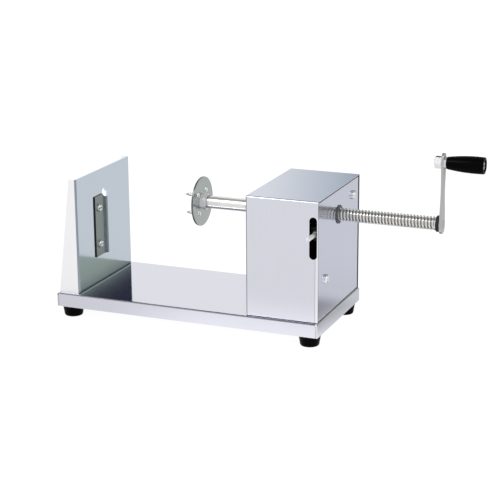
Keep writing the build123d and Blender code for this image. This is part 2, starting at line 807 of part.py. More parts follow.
# ------------------------------------------------------------------ lever spring and what holds it
loop_half = spring_wire / 2 + spring_loop_gap
outer_nut_seat = spring_x - loop_half
anchor_grip_length = wall_right - outer_nut_seat + m5_nut[1] + thread_past_nut
spring_anchor_bolt = pan_screw(
    facing(right, wall_right, anchor_y, anchor_z), m5_screw, anchor_grip_length, slotted=False
)
spring_anchor_bolt.label = "spring_anchor_bolt"
export_step(spring_anchor_bolt, "parts/spring_anchor_bolt.step")

with BuildPart() as spring_anchor_nuts:
    add(hex_nut(facing(left, wall_inner, anchor_y, anchor_z), m5_nut, m5_screw[0]))
    add(hex_nut(facing(left, outer_nut_seat, anchor_y, anchor_z), m5_nut, m5_screw[0]))
spring_anchor_nuts.part.label = "spring_anchor_nuts"
export_step(spring_anchor_nuts.part, "parts/spring_anchor_nuts.step")

post_end = spring_x - loop_half - post_head_height
with BuildPart() as spring_post:
    with BuildSketch(side_plane(post_end)):
        with Locations((anchor_y, post_z)):
            Circle(post_head_diameter / 2)
    extrude(amount=post_head_height)
    with BuildSketch(side_plane(post_end)):
        with Locations((anchor_y, post_z)):
            Circle(post_diameter / 2)
    extrude(amount=lever_right - post_end)
spring_post.part.label = "spring_post"
export_step(spring_post.part, "parts/spring_post.step")

# The spring pulls, so each loop bears on the far side of what it goes round.
loop_inner = spring_loop_radius - spring_wire / 2
lower_loop_z = anchor_z - m5_screw[0] / 2 - face_gap + loop_inner
upper_loop_z = post_z + post_diameter / 2 + face_gap - loop_inner
coil_radius = (spring_diameter - spring_wire) / 2
coil_bottom = lower_loop_z + spring_loop_radius + spring_lead
coil_top = upper_loop_z - spring_loop_radius - spring_lead
coil_pitch = (coil_top - coil_bottom) / spring_turns
with BuildPart() as lever_spring:
    with BuildLine() as coil_line:
        Helix(coil_pitch, coil_top - coil_bottom, coil_radius, center=(spring_x, anchor_y, coil_bottom))
    with BuildSketch(Plane(origin=coil_line.line @ 0, z_dir=coil_line.line % 0)):
        Circle(spring_wire / 2)
    sweep(path=coil_line.line, is_frenet=True)
    for loop_z, towards, coil_end in (
        (lower_loop_z, 1, coil_line.line @ 0),
        (upper_loop_z, -1, coil_line.line @ 1),
    ):
        loop_tip = Vector(spring_x, anchor_y, loop_z + towards * spring_loop_radius)
        with Locations(facing(right, spring_x, anchor_y, loop_z).location):
            Torus(spring_loop_radius, spring_wire / 2)
        with BuildLine(mode=Mode.PRIVATE) as lead:
            Line(loop_tip, coil_end)
        with BuildSketch(Plane(origin=loop_tip, z_dir=coil_end - loop_tip)):
            Circle(spring_wire / 2)
        sweep(path=lead.line)
lever_spring.part.label = "lever_spring"
export_step(lever_spring.part, "parts/lever_spring.step")
print("lever spring: least gap between turns", round(coil_pitch - spring_wire, 2), "mm")

# ------------------------------------------------------------------ lead screw
with BuildPart() as lead_screw:
    with BuildSketch(side_plane(disc_front)):
        with Locations((0, axis_z)):
            Circle(disc_seat_diameter / 2)
    extrude(amount=disc_thickness)
    with BuildSketch(side_plane(disc_back)):
        with Locations((0, axis_z)):
            Circle(screw_radius)
    extrude(amount=thread_start - disc_back)
    add(thread_rod(thread_start, thread_end))
    with BuildSketch(side_plane(thread_end)):
        with Locations((0, axis_z)):
            Circle(screw_radius)
    extrude(amount=arm_seat - thread_end)
    with BuildSketch(side_plane(arm_seat)):
        with Locations((0, axis_z)):
            Rectangle(tenon_width, tenon_width)
    extrude(amount=arm_thickness)
    with BuildSketch(side_plane(disc_front)):
        with Locations((0, axis_z)):
            Circle(skewer_bore_diameter / 2)
    extrude(amount=skewer_bore_depth, mode=Mode.SUBTRACT)
    with BuildSketch(hub_screw_plane):
        Circle(hub_screw_diameter / 2 + seat_clearance)
    extrude(amount=hub_diameter, mode=Mode.SUBTRACT)
lead_screw.part.label = "lead_screw"
export_step(lead_screw.part, "parts/lead_screw.step")

# ------------------------------------------------------------------ pronged disc
prong_angles = [prong_phase + 360 * turn / prong_count for turn in range(prong_count)]
prong_places = [
    (prong_radius * cos(radians(angle)), axis_z + prong_radius * sin(radians(angle)))
    for angle in prong_angles
]
with BuildPart() as pronged_disc:
    with BuildSketch(side_plane(disc_front)):
        with Locations((0, axis_z)):
            Circle(disc_diameter / 2)
            Circle(disc_seat_diameter / 2 + seat_clearance, mode=Mode.SUBTRACT)
        with Locations(*prong_places):
            Circle(prong_diameter / 2 + seat_clearance, mode=Mode.SUBTRACT)
    extrude(amount=disc_thickness)
pronged_disc.part.label = "pronged_disc"
export_step(pronged_disc.part, "parts/pronged_disc.step")

for number, (prong_y, prong_z) in enumerate(prong_places, start=1):
    prong_axis = Axis((0, prong_y, prong_z), (1, 0, 0))
    with BuildPart() as prong:
        with BuildSketch(Plane(origin=(disc_front, prong_y, prong_z), x_dir=(1, 0, 0), z_dir=(0, 0, 1))):
            with BuildLine():
                Polyline(
                    (-prong_length, 0),
                    (prong_point - prong_length, prong_diameter / 2),
                    (disc_thickness, prong_diameter / 2),
                    (disc_thickness, prong_tail_diameter / 2),
                    (disc_thickness + prong_tail_height / 2, prong_tail_diameter / 2),
                    (disc_thickness + prong_tail_height, prong_tail_crown_diameter / 2),
                    (disc_thickness + prong_tail_height, 0),
                    close=True,
                )
            make_face()
        revolve(axis=prong_axis)
    prong.part.label = "prong_" + str(number)
    export_step(prong.part, "parts/prong_" + str(number) + ".step")

with BuildPart() as disc_hub:
    with BuildSketch(side_plane(disc_back)):
        with Locations((0, axis_z)):
            Circle(hub_diameter / 2)
            Circle(screw_radius + seat_clearance, mode=Mode.SUBTRACT)
    extrude(amount=hub_length)
    with BuildSketch(hub_screw_plane):
        Circle(hub_screw_diameter / 2 + seat_clearance)
    extrude(amount=hub_diameter, mode=Mode.SUBTRACT)
disc_hub.part.label = "disc_hub"
export_step(disc_hub.part, "parts/disc_hub.step")

hub_screw_length = hub_diameter / 2 - hub_screw_sunk - screw_radius + hub_screw_bite
with BuildPart() as hub_screw:
    with BuildSketch(hub_screw_plane):
        Circle(hub_screw_diameter / 2)
    extrude(amount=hub_screw_length)
    with BuildSketch(hub_screw_plane.offset(hub_screw_length)):
        RegularPolygon(hub_screw_socket / 2, 6, major_radius=False)
    extrude(amount=-hub_screw_length / 2, mode=Mode.SUBTRACT)
hub_screw.part.label = "hub_screw"
export_step(hub_screw.part, "parts/hub_screw.step")

# ------------------------------------------------------------------ rod bumper
with BuildPart() as rod_bumper:
    with BuildSketch(side_plane(bumper_right)):
        with Locations((0, axis_z)):
            Circle(bumper_diameter / 2)
            Circle(screw_radius + bumper_clearance, mode=Mode.SUBTRACT)
    extrude(amount=-bumper_thickness)
rod_bumper.part.label = "rod_bumper"
export_step(rod_bumper.part, "parts/rod_bumper.step")

# ------------------------------------------------------------------ crank
hub_end = arm_hub_width / 2 - arm_below_axis
tip_end = crank_radius + arm_past_grip - arm_tip_width / 2
with BuildPart() as crank_arm:
    with BuildSketch(facing(right, arm_seat, 0, axis_z)):
        with BuildLine():
            for side in (-1, 1):
                Spline(
                    (side * arm_hub_width / 2, hub_end),
                    (side * arm_waist_width / 2, arm_waist_height),
                    (side * arm_tip_width / 2, tip_end),
                    tangents=((0, 1), (0, 1)),
                )
            ThreePointArc(
                (-arm_hub_width / 2, hub_end), (0, -arm_below_axis), (arm_hub_width / 2, hub_end)
            )
            ThreePointArc(
                (-arm_tip_width / 2, tip_end),
                (0, crank_radius + arm_past_grip),
                (arm_tip_width / 2, tip_end),
            )
        make_face()
    extrude(amount=arm_thickness)
    fillet(crank_arm.faces().sort_by(Axis.X)[-1].edges(), arm_edge)
    with BuildSketch(facing(right, arm_seat, 0, axis_z)):
        Rectangle(tenon_width + 2 * seat_clearance, tenon_width + 2 * seat_clearance)
        with Locations((0, crank_radius)):
            Circle(m6_spindle[0] / 2 + seat_clearance)
    extrude(amount=arm_thickness, mode=Mode.SUBTRACT)
crank_arm.part.label = "crank_arm"
export_step(crank_arm.part, "parts/crank_arm.step")

with BuildPart() as grip_washer:
    with BuildSketch(facing(right, arm_outer, 0, grip_z)):
        Circle(grip_washer_diameter / 2)
        Circle(m6_spindle[0] / 2 + seat_clearance, mode=Mode.SUBTRACT)
    extrude(amount=grip_washer_thickness)
grip_washer.part.label = "grip_washer"
export_step(grip_washer.part, "parts/grip_washer.step")

spindle_seat = grip_end - grip_recess_depth + grip_play
spindle_length = spindle_seat - arm_seat + m6_nut[1] + thread_past_nut
grip_spindle = pan_screw(facing(right, spindle_seat, 0, grip_z), m6_spindle, spindle_length)
grip_spindle.label = "grip_spindle"
export_step(grip_spindle, "parts/grip_spindle.step")

spindle_nut = hex_nut(facing(left, arm_seat, 0, grip_z), m6_nut, m6_spindle[0])
spindle_nut.label = "spindle_nut"
export_step(spindle_nut, "parts/spindle_nut.step")

grip_bore = m6_spindle[0] / 2 + bush_clearance
with BuildPart() as crank_grip:
    with BuildSketch(Plane(origin=(grip_start, 0, grip_z), x_dir=(1, 0, 0), z_dir=(0, -1, 0))):
        with BuildLine():
            Spline(
                (0, grip_inner_diameter / 2),
                (grip_length * grip_swell_share, grip_swell_diameter / 2),
                (grip_length, grip_outer_diameter / 2),
            )
            Polyline(
                (grip_length, grip_outer_diameter / 2),
                (grip_length, grip_recess_diameter / 2),
                (grip_length - grip_recess_depth, grip_recess_diameter / 2),
                (grip_length - grip_recess_depth, grip_bore),
                (0, grip_bore),
                (0, grip_inner_diameter / 2),
            )
        make_face()
    revolve(axis=Axis((0, 0, grip_z), (1, 0, 0)))
    rims = crank_grip.edges().filter_by(GeomType.CIRCLE).sort_by(SortBy.RADIUS)
    neck_rims = rims.filter_by_position(Axis.X, grip_start - grip_rounding, grip_start + grip_rounding)
    fillet([rims[-1], neck_rims[-1]], grip_rounding)
crank_grip.part.label = "crank_grip"
export_step(crank_grip.part, "parts/crank_grip.step")
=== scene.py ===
"""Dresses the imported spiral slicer: its finishes, its finer shapes, the studio and the camera.

Every size is in metres in the model's own frame: +X along the lead screw towards the crank, -Y to
the front, +Z up, with the origin under the middle of the base.
"""

from __future__ import annotations

import json
import logging
import math
from collections.abc import Iterable, Sequence
from dataclasses import dataclass
from enum import Enum
from typing import Any

import bmesh
import bpy
import numpy as np
from mathutils import Matrix, Vector

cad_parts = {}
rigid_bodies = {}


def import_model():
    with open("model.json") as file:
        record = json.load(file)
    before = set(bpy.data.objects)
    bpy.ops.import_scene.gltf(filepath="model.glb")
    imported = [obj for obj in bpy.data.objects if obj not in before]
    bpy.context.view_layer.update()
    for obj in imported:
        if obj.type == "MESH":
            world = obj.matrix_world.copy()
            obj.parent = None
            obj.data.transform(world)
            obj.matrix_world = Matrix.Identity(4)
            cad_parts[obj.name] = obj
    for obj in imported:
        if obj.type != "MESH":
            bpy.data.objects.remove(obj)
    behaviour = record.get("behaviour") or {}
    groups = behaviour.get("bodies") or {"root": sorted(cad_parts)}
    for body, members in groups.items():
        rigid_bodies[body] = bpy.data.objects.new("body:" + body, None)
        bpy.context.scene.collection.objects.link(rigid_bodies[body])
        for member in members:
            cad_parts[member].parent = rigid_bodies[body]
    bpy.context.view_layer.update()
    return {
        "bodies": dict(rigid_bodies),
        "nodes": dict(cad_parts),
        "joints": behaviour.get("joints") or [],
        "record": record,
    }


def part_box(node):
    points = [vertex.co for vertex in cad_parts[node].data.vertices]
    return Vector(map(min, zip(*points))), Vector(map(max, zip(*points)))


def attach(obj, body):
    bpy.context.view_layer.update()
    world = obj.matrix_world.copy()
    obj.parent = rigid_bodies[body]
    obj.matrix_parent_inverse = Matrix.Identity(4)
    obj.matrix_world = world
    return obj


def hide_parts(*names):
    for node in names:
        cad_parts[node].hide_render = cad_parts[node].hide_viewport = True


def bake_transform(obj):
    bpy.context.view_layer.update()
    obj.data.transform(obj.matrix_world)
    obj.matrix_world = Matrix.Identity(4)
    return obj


LOG = logging.getLogger("spiral_slicer")
MM = 0.001
SHARP_ANGLE = math.radians(38)
SAME_POINT = 1e-7
NO_LENGTH = 1e-8
SIDE_SHARE = 0.49
WHITE = (1.0, 1.0, 1.0)
ALONG_SCREW = Vector((1, 0, 0))
UPWARD = Vector((0, 0, 1))
Socket = bpy.types.NodeSocket
Triple = tuple[float, float, float]
Colour = Triple
Span = tuple[float | None, float | None]


class Body(Enum):
    """The rigid bodies that pieces ride on."""

    FRAME = "frame"
    LEVER = "lever"
    BUMPER = "bumper"
    ROD = "rod"
    GRIP = "grip"


class Along(Enum):
    """The way that a sheet's rolling lines run, as the share that each axis keeps of their pattern."""

    X = (0.03, 1.0, 1.0)
    Y = (1.0, 0.03, 1.0)
    Z = (1.0, 1.0, 0.03)


# ------------------------------------------------------------------ surfaces
def grid_mesh(name: str, points: np.ndarray, closed_u: bool, closed_v: bool) -> bpy.types.Mesh:
    """Makes a mesh of quads from a grid of points.

    Point (i, j) makes a quad with (i + 1, j), (i + 1, j + 1) and (i, j + 1), and a closed direction
    joins its last points to its first.

    Args:
        name: The mesh's name.
        points: The grid, as rows by columns by 3.
        closed_u: Whether the last row joins the first.
        closed_v: Whether the last column joins the first.

    Returns:
        The mesh, smooth shaded.
    """
    rows, columns = points.shape[:2]
    i = np.arange(rows if closed_u else rows - 1)[:, None]
    j = np.arange(columns if closed_v else columns - 1)[None, :]
    i_next, j_next = (i + 1) % rows, (j + 1) % columns
    quads = np.stack(
        [i * columns + j, i_next * columns + j, i_next * columns + j_next, i * columns + j_next],
        axis=-1,
    ).reshape(-1, 4)
    mesh = bpy.data.meshes.new(name)
    mesh.from_pydata(points.reshape(-1, 3).tolist(), [], quads.tolist())
    mesh.polygons.foreach_set("use_smooth", np.ones(len(quads), bool))
    mesh.update()
    return mesh


def rounded_profile(corners: Sequence[Triple], steps: int = 6) -> np.ndarray:
    """Rounds a profile's corners with arcs.

    Each corner is (along, out, radius). An arc's ends A and B lie on the corner's two sides, as far
    from the corner C as its radius but never past a side's middle, and its points are
    (1 - t)^2 A + 2 t (1 - t) C + t^2 B.

    Args:
        corners: The profile's corners in order.
        steps: How many points each arc has.

    Returns:
        The rounded profile, as points by 2.
    """
    points = np.array([corner[:2] for corner in corners], float)
    made = [points[:1]]
    for number in range(1, len(points) - 1):
        here, radius = points[number], corners[number][2]
        before, after = points[number - 1] - here, points[number + 1] - here
        sides = np.linalg.norm(before), np.linalg.norm(after)
        reach = min(radius, SIDE_SHARE * sides[0], SIDE_SHARE * sides[1])
        start = here + before / sides[0] * reach
        end = here + after / sides[1] * reach
        t = np.linspace(0.0, 1.0, steps)[:, None]
        made.append((1 - t) ** 2 * start + 2 * t * (1 - t) * here + t**2 * end)
    made.append(points[-1:])
    return np.concatenate(made)


def turned_points(profile: np.ndarray, origin: Vector, along: Vector, around: int) -> np.ndarray:
    """Turns a profile about an axis.

    A point (a, r) becomes origin + a * along + r * (cos(angle) * side + sin(angle) * up), where side
    and up are square to the axis.

    Args:
        profile: Points by 2, as distance along the axis and radius.
        origin: Where the axis starts.
        along: The axis.
        around: How many steps go round.

    Returns:
        The grid, as profile points by steps by 3.
    """
    axis = along.normalized()
    side = axis.orthogonal().normalized()
    up = axis.cross(side)
    angle = np.linspace(0.0, 2 * math.pi, around, endpoint=False)
    ring = np.cos(angle)[:, None] * np.array(side) + np.sin(angle)[:, None] * np.array(up)
    return (
        np.array(origin)
        + profile[:, 0][:, None, None] * np.array(axis)
        + profile[:, 1][:, None, None] * ring[None, :, :]
    )


def tube_points(path: np.ndarray, radius: float, around: int) -> np.ndarray:
    """Carries a circle along a path.

    The circle's frame at each point is the path's direction and a side, which is the side before with
    its share along the path taken out, so that the tube doesn't twist.

    Args:
        path: The centreline, as points by 3.
        radius: The tube's radius.
        around: How many steps go round.

    Returns:
        The grid, as path points by steps by 3.
    """
    direction = np.gradient(path, axis=0)
    direction /= np.linalg.norm(direction, axis=1)[:, None]
    side = np.array(Vector(direction[0]).orthogonal().normalized())
    sides = np.empty_like(path)
    for number, forward in enumerate(direction):
        side = side - forward * side.dot(forward)
        side /= np.linalg.norm(side)
        sides[number] = side
    ups = np.cross(direction, sides)
    angle = np.linspace(0.0, 2 * math.pi, around, endpoint=False)
    return (
        path[:, None, :]
        + radius * np.cos(angle)[None, :, None] * sides[:, None, :]
        + radius * np.sin(angle)[None, :, None] * ups[:, None, :]
    )


def mesh_piece(name: str, mesh: bpy.types.Mesh, finish: bpy.types.Material) -> bpy.types.Object:
    """Makes a piece from a mesh: merges doubled points, turns its faces outwards and dresses it.

    Args:
        name: The piece's name.
        mesh: Its mesh.
        finish: Its material.

    Returns:
        The piece, at the origin.
    """
    shape = bmesh.new()
    shape.from_mesh(mesh)
    bmesh.ops.remove_doubles(shape, verts=shape.verts, dist=SAME_POINT)
    bmesh.ops.dissolve_degenerate(shape, edges=shape.edges, dist=NO_LENGTH)
    bmesh.ops.holes_fill(shape, edges=[e for e in shape.edges if e.is_boundary], sides=0)
    bmesh.ops.recalc_face_normals(shape, faces=shape.faces)
    shape.to_mesh(mesh)
    shape.free()
    mesh.polygons.foreach_set("use_smooth", np.ones(len(mesh.polygons), bool))
    mesh.set_sharp_from_angle(angle=SHARP_ANGLE)
    piece = bpy.data.objects.new(name, mesh)
    bpy.context.scene.collection.objects.link(piece)
    piece.data.materials.append(finish)
    return piece


# ------------------------------------------------------------------ shader graphs
class Graph:
    """Makes nodes and links in a node tree."""

    def __init__(self, tree: bpy.types.NodeTree) -> None:
        """Keeps the tree."""
        self.tree = tree

    def node(self, kind: str, **values: Any) -> bpy.types.Node:
        """Adds a node.

        Args:
            kind: The node's type name.
            values: Its settings, and its inputs' values by their names with underscores for spaces.

        Returns:
            The node.
        """
        made = self.tree.nodes.new(kind)
        for name, value in values.items():
            label = name.replace("_", " ")
            if label in made.inputs:
                self.feed(made.inputs[label], value)
            else:
                setattr(made, name, value)
        return made

    def feed(self, socket: Socket, value: Any) -> None:
        """Links an output to an input, or writes a plain value into it.

        Args:
            socket: The input.
            value: The output or the value.
        """
        if isinstance(value, bpy.types.NodeSocket):
            self.tree.links.new(value, socket)
        else:
            socket.default_value = value

    def split(self, kind: str, output: str) -> bpy.types.Node:
        """Adds a Separate XYZ node of another new node's output and returns it."""
        return self.node("ShaderNodeSeparateXYZ", Vector=self.tree.nodes.new(kind).outputs[output])

    def math(self, operation: str, *values: Any) -> Socket:
        """Adds a Math node.

        Args:
            operation: What it works out.
            values: What it works on.

        Returns:
            Its result.
        """
        made = self.node("ShaderNodeMath", operation=operation)
        for socket, value in zip(made.inputs, values):
            self.feed(socket, value)
        return made.outputs[0]

    def chain(self, operation: str, first: Any, *others: Any) -> Any:
        """Works an operation along several values.

        Args:
            operation: What it works out.
            first: The first value.
            others: The values that follow.

        Returns:
            The last result.
        """
        for value in others:
            first = self.math(operation, first, value)
        return first

    def steps(
        self, value: Any, low: float, high: float, start: float = 0.0, end: float = 1.0
    ) -> Socket:
        """Adds a smooth step.

        Args:
            value: What it goes by.
            low: Where the step begins.
            high: Where it ends.
            start: The result before the step.
            end: The result after it.

        Returns:
            The result.
        """
        made = self.node("ShaderNodeMapRange", interpolation_type="SMOOTHSTEP", Value=value)
        for name, number in zip(("From Min", "From Max", "To Min", "To Max"), (low, high, start, end)):
            made.inputs[name].default_value = number
        return made.outputs["Result"]

    def window(self, value: Any, low: float, high: float, soft: float) -> Socket:
        """Gives 1 from low to high and 0 outside, with soft edges: a step up times a step down."""
        rise = self.steps(value, low - soft, low + soft)
        return self.math("MULTIPLY", rise, self.steps(value, high - soft, high + soft, 1.0, 0.0))

    def mix(self, factor: Any, first: Any, second: Any) -> Socket:
        """Mixes two colours.

        Args:
            factor: The second colour's share.
            first: The first colour.
            second: The second colour.

        Returns:
            The mixed colour.
        """
        made = self.node("ShaderNodeMix", data_type="RGBA")
        self.feed(made.inputs["Factor"], factor)
        for socket, value in ((made.inputs[6], first), (made.inputs[7], second)):
            self.feed(socket, (*value, 1.0) if isinstance(value, tuple) else value)
        return made.outputs[2]

    def stretched(self, vector: Any, amounts: Any) -> Socket:
        """Multiplies a vector by another.

        Args:
            vector: The vector.
            amounts: How much each axis is multiplied by.

        Returns:
            The product.
        """
        made = self.node("ShaderNodeVectorMath", operation="MULTIPLY")
        for socket, value in zip(made.inputs, (vector, amounts)):
            self.feed(socket, value)
        return made.outputs[0]

    def noise(self, vector: Any, scale: Any, detail: float = 2.0, rough: float = 0.5) -> Socket:
        """Adds a noise of a vector and returns its value."""
        values = {"Vector": vector, "Scale": scale, "Detail": detail, "Roughness": rough}
        return self.node("ShaderNodeTexNoise", **values).outputs["Fac"]


class Effect(Enum):
    """The effects that several finishes share, each a node group made once."""

    SHEET_GRAIN = "sheet_grain"
    HANDLING = "handling_marks"
    TURNING = "turning_rings"
    MOULDING = "moulded_skin"


class EffectShelf:
    """Makes the shared node groups and places them in materials."""

    smudge_edge = (0.45, 0.75)
    scratch_turn = (0.5, 0.9, 0.6)
    scratch_drawn = (1.0, 0.05, 0.6)
    scratch_middle = 0.5
    scratch_width = 0.006
    scratch_patch_scale = 22.0
    scratch_patch_edge = (0.5, 0.62)
    ring_drawn = (1.0, 0.02, 0.02)
    tone_scale = 90.0
    dust_scale = 420.0
    dust_edge = (0.5, 0.72)
    dust_slope = (0.2, 1.0)

    def __init__(self) -> None:
        """Makes every group."""
        self.groups = {
            Effect.SHEET_GRAIN: self._sheet_grain(),
            Effect.HANDLING: self._handling(),
            Effect.TURNING: self._turning(),
            Effect.MOULDING: self._moulding(),
        }

    @staticmethod
    def _group(
        effect: Effect, inputs: Iterable[tuple[str, str, Any]], outputs: Iterable[str]
    ) -> tuple[bpy.types.NodeTree, Graph, bpy.types.Node, bpy.types.Node]:
        """Starts a group.

        Args:
            effect: Which effect it is.
            inputs: Its inputs after the coordinates, as name, kind of socket and default.
            outputs: Its outputs' names, each of which gives a number.

        Returns:
            The group's tree, its graph, its input node and its output node.
        """
        tree = bpy.data.node_groups.new(effect.value, "ShaderNodeTree")
        tree.interface.new_socket("Coordinates", in_out="INPUT", socket_type="NodeSocketVector")
        for name, kind, default in inputs:
            kind = "NodeSocket" + kind
            socket = tree.interface.new_socket(name, in_out="INPUT", socket_type=kind)
            socket.default_value = default
        for name in outputs:
            tree.interface.new_socket(name, in_out="OUTPUT", socket_type="NodeSocketFloat")
        entry = tree.nodes.new("NodeGroupInput")
        leave = tree.nodes.new("NodeGroupOutput")
        return tree, Graph(tree), entry, leave

    def _sheet_grain(self) -> bpy.types.NodeTree:
        """Makes a polished sheet's rolling lines, a fine noise drawn out one way, and its waviness.

        Returns:
            The group.
        """
        inputs = [
            ("Stretch", "Vector", WHITE),
            ("Fine Scale", "Float", 900.0),
            ("Coarse Scale", "Float", 14.0),
        ]
        tree, graph, entry, leave = self._group(Effect.SHEET_GRAIN, inputs, ["Lines", "Waviness"])
        coordinates = entry.outputs["Coordinates"]
        drawn = graph.stretched(coordinates, entry.outputs["Stretch"])
        fine = graph.noise(drawn, entry.outputs["Fine Scale"], detail=3.0, rough=0.6)
        coarse = graph.noise(coordinates, entry.outputs["Coarse Scale"], detail=1.0)
        graph.feed(leave.inputs["Lines"], fine)
        graph.feed(leave.inputs["Waviness"], coarse)
        return tree

    def _handling(self) -> bpy.types.NodeTree:
        """Makes handling marks: smudges, and thin scratches where a drawn out noise is at its middle.

        Returns:
            The group.
        """
        inputs = [("Smudge Scale", "Float", 35.0), ("Scratch Scale", "Float", 60.0)]
        tree, graph, entry, leave = self._group(Effect.HANDLING, inputs, ["Smudges", "Scratches"])
        coordinates = entry.outputs["Coordinates"]
        smudge = graph.noise(coordinates, entry.outputs["Smudge Scale"], detail=4.0, rough=0.62)
        graph.feed(leave.inputs["Smudges"], graph.steps(smudge, *self.smudge_edge))
        turned = graph.node("ShaderNodeVectorRotate", Vector=coordinates, rotation_type="EULER_XYZ")
        turned.inputs["Rotation"].default_value = self.scratch_turn
        drawn = graph.stretched(turned.outputs[0], self.scratch_drawn)
        line = graph.noise(drawn, entry.outputs["Scratch Scale"], detail=0.0)
        off_middle = graph.math("ABSOLUTE", graph.math("SUBTRACT", line, self.scratch_middle))
        patch = graph.noise(coordinates, self.scratch_patch_scale, detail=1.0)
        patches = graph.steps(patch, *self.scratch_patch_edge)
        thin = graph.steps(off_middle, 0.0, self.scratch_width, 1.0, 0.0)
        graph.feed(leave.inputs["Scratches"], graph.math("MULTIPLY", thin, patches))
        return tree

    def _turning(self) -> bpy.types.NodeTree:
        """Makes the marks of a lathe's tool: rings whose spacing wanders along the axis.

        Returns:
            The group.
        """
        inputs = [("Ring Scale", "Float", 2600.0)]
        tree, graph, entry, leave = self._group(Effect.TURNING, inputs, ["Rings", "Tone"])
        coordinates = entry.outputs["Coordinates"]
        along_only = graph.stretched(coordinates, self.ring_drawn)
        rings = graph.noise(along_only, entry.outputs["Ring Scale"], detail=2.0, rough=0.7)
        graph.feed(leave.inputs["Rings"], rings)
        graph.feed(leave.inputs["Tone"], graph.noise(coordinates, self.tone_scale, detail=3.0))
        return tree

    def _moulding(self) -> bpy.types.NodeTree:
        """Makes a moulded skin: a fine orange peel, and dust that settles on faces that look up.

        Returns:
            The group.
        """
        inputs = [("Peel Scale", "Float", 1400.0)]
        tree, graph, entry, leave = self._group(Effect.MOULDING, inputs, ["Peel", "Dust"])
        coordinates = entry.outputs["Coordinates"]
        graph.feed(leave.inputs["Peel"], graph.noise(coordinates, entry.outputs["Peel Scale"]))
        speck = graph.noise(coordinates, self.dust_scale, detail=4.0, rough=0.7)
        specks = graph.steps(speck, *self.dust_edge)
        normal = graph.split("ShaderNodeNewGeometry", "Normal")
        upward = graph.steps(normal.outputs["Z"], *self.dust_slope)
        graph.feed(leave.inputs["Dust"], graph.math("MULTIPLY", specks, upward))
        return tree

    def place(self, graph: Graph, effect: Effect, **values: Any) -> bpy.types.Node:
        """Places a group in a material, on Object coordinates.

        Args:
            graph: The material's graph.
            effect: Which effect it is.
            values: The group's inputs by their names with underscores for spaces.

        Returns:
            The group's node.
        """
        made = graph.node("ShaderNodeGroup", node_tree=self.groups[effect])
        coordinates = graph.tree.nodes.new("ShaderNodeTexCoord").outputs["Object"]
        graph.feed(made.inputs["Coordinates"], coordinates)
        for name, value in values.items():
            graph.feed(made.inputs[name.replace("_", " ")], value)
        return made


def empty_material(name: str) -> tuple[bpy.types.Material, Graph, bpy.types.Node]:
    """Starts a material.

    Args:
        name: Its name.

    Returns:
        The material, its graph and its Principled shader, which is linked to the output.
    """
    material = bpy.data.materials.new(name)
    material.use_nodes = True
    tree = material.node_tree
    tree.nodes.clear()
    graph = Graph(tree)
    shader = tree.nodes.new("ShaderNodeBsdfPrincipled")
    output = tree.nodes.new("ShaderNodeOutputMaterial")
    tree.links.new(shader.outputs[0], output.inputs["Surface"])
    return material, graph, shader


def bump(graph: Graph, height: Socket, distance: float) -> bpy.types.Node:
    """Adds a Bump node.

    Args:
        graph: The material's graph.
        height: The height that it reads.
        distance: How far a height of 1 stands out.

    Returns:
        The node.
    """
    made = graph.node("ShaderNodeBump", Height=height)
    made.inputs["Distance"].default_value = distance
    made.inputs["Strength"].default_value = 1.0
    return made


def finish_shader(
    graph: Graph, shader: bpy.types.Node, colour: Socket, rough: Socket, relief: bpy.types.Node
) -> None:
    """Feeds a finish to its shader.

    Args:
        graph: The material's graph.
        shader: The shader.
        colour: The finish's colour.
        rough: Its roughness.
        relief: Its Bump node.
    """
    graph.feed(shader.inputs["Base Color"], colour)
    graph.feed(shader.inputs["Roughness"], rough)
    graph.feed(shader.inputs["Normal"], relief.outputs["Normal"])


@dataclass(frozen=True)
class Patch:
    """A part of a piece with its own colour and roughness, which stand for a finish of its own or for
    painted light and shade: the box that it lies in, its colour and roughness.
    """

    low: Sequence[float]
    high: Sequence[float]
    colour: Colour
    roughness: float

    def mask(self, graph: Graph) -> Socket:
        """Gives 1 in the box and 0 out of it, by how far each coordinate is from the box's middle.

        Args:
            graph: The material's graph.

        Returns:
            The mask.
        """
        position = graph.split("ShaderNodeTexCoord", "Object")
        mask: Any = 1.0
        for axis, low, high in zip("XYZ", self.low, self.high):
            off_middle = graph.math("SUBTRACT", position.outputs[axis], (low + high) / 2)
            within = graph.math("LESS_THAN", graph.math("ABSOLUTE", off_middle), (high - low) / 2)
            mask = graph.math("MULTIPLY", mask, within)
        return mask


def patch_in(
    box: tuple[Vector, Vector],
    colour: Colour,
    roughness: float,
    x: Span = (None, None),
    y: Span = (None, None),
    z: Span = (None, None),
) -> Patch:
    """Makes a patch of a node's box, which reaches a millimetre past the box where it has no limit.

    Args:
        box: The node's lowest and highest corners.
        colour: The patch's colour.
        roughness: Its roughness.
        x: Its lowest and highest x, or None for no limit.
        y: Its lowest and highest y.
        z: Its lowest and highest z.

    Returns:
        The patch.
    """
    low, high = (
        [
            corner + reach if span[end] is None else span[end]
            for corner, span in zip(box[end], (x, y, z))
        ]
        for end, reach in ((0, -MM), (1, MM))
    )
    return Patch(low, high, colour, roughness)


@dataclass(frozen=True)
class Ring:
    """A colour and roughness that go by the distance from the screw's axis, for grime and painted shade
    in the thread's roots and for the disc's rim: full at one radius, gone at one.
    """

    axis_z: float
    full: float
    gone: float
    colour: Colour
    roughness: float

    def mask(self, graph: Graph) -> Socket:
        """Gives 1 at the full radius and 0 at the other.

        Args:
            graph: The material's graph.

        Returns:
            The mask.
        """
        position = graph.split("ShaderNodeTexCoord", "Object")
        over = graph.math("SUBTRACT", position.outputs["Z"], self.axis_z)
        squares = (graph.math("POWER", side, 2.0) for side in (position.outputs["Y"], over))
        distance = graph.math("SQRT", graph.math("ADD", *squares))
        return graph.steps(distance, self.full, self.gone, 1.0, 0.0)


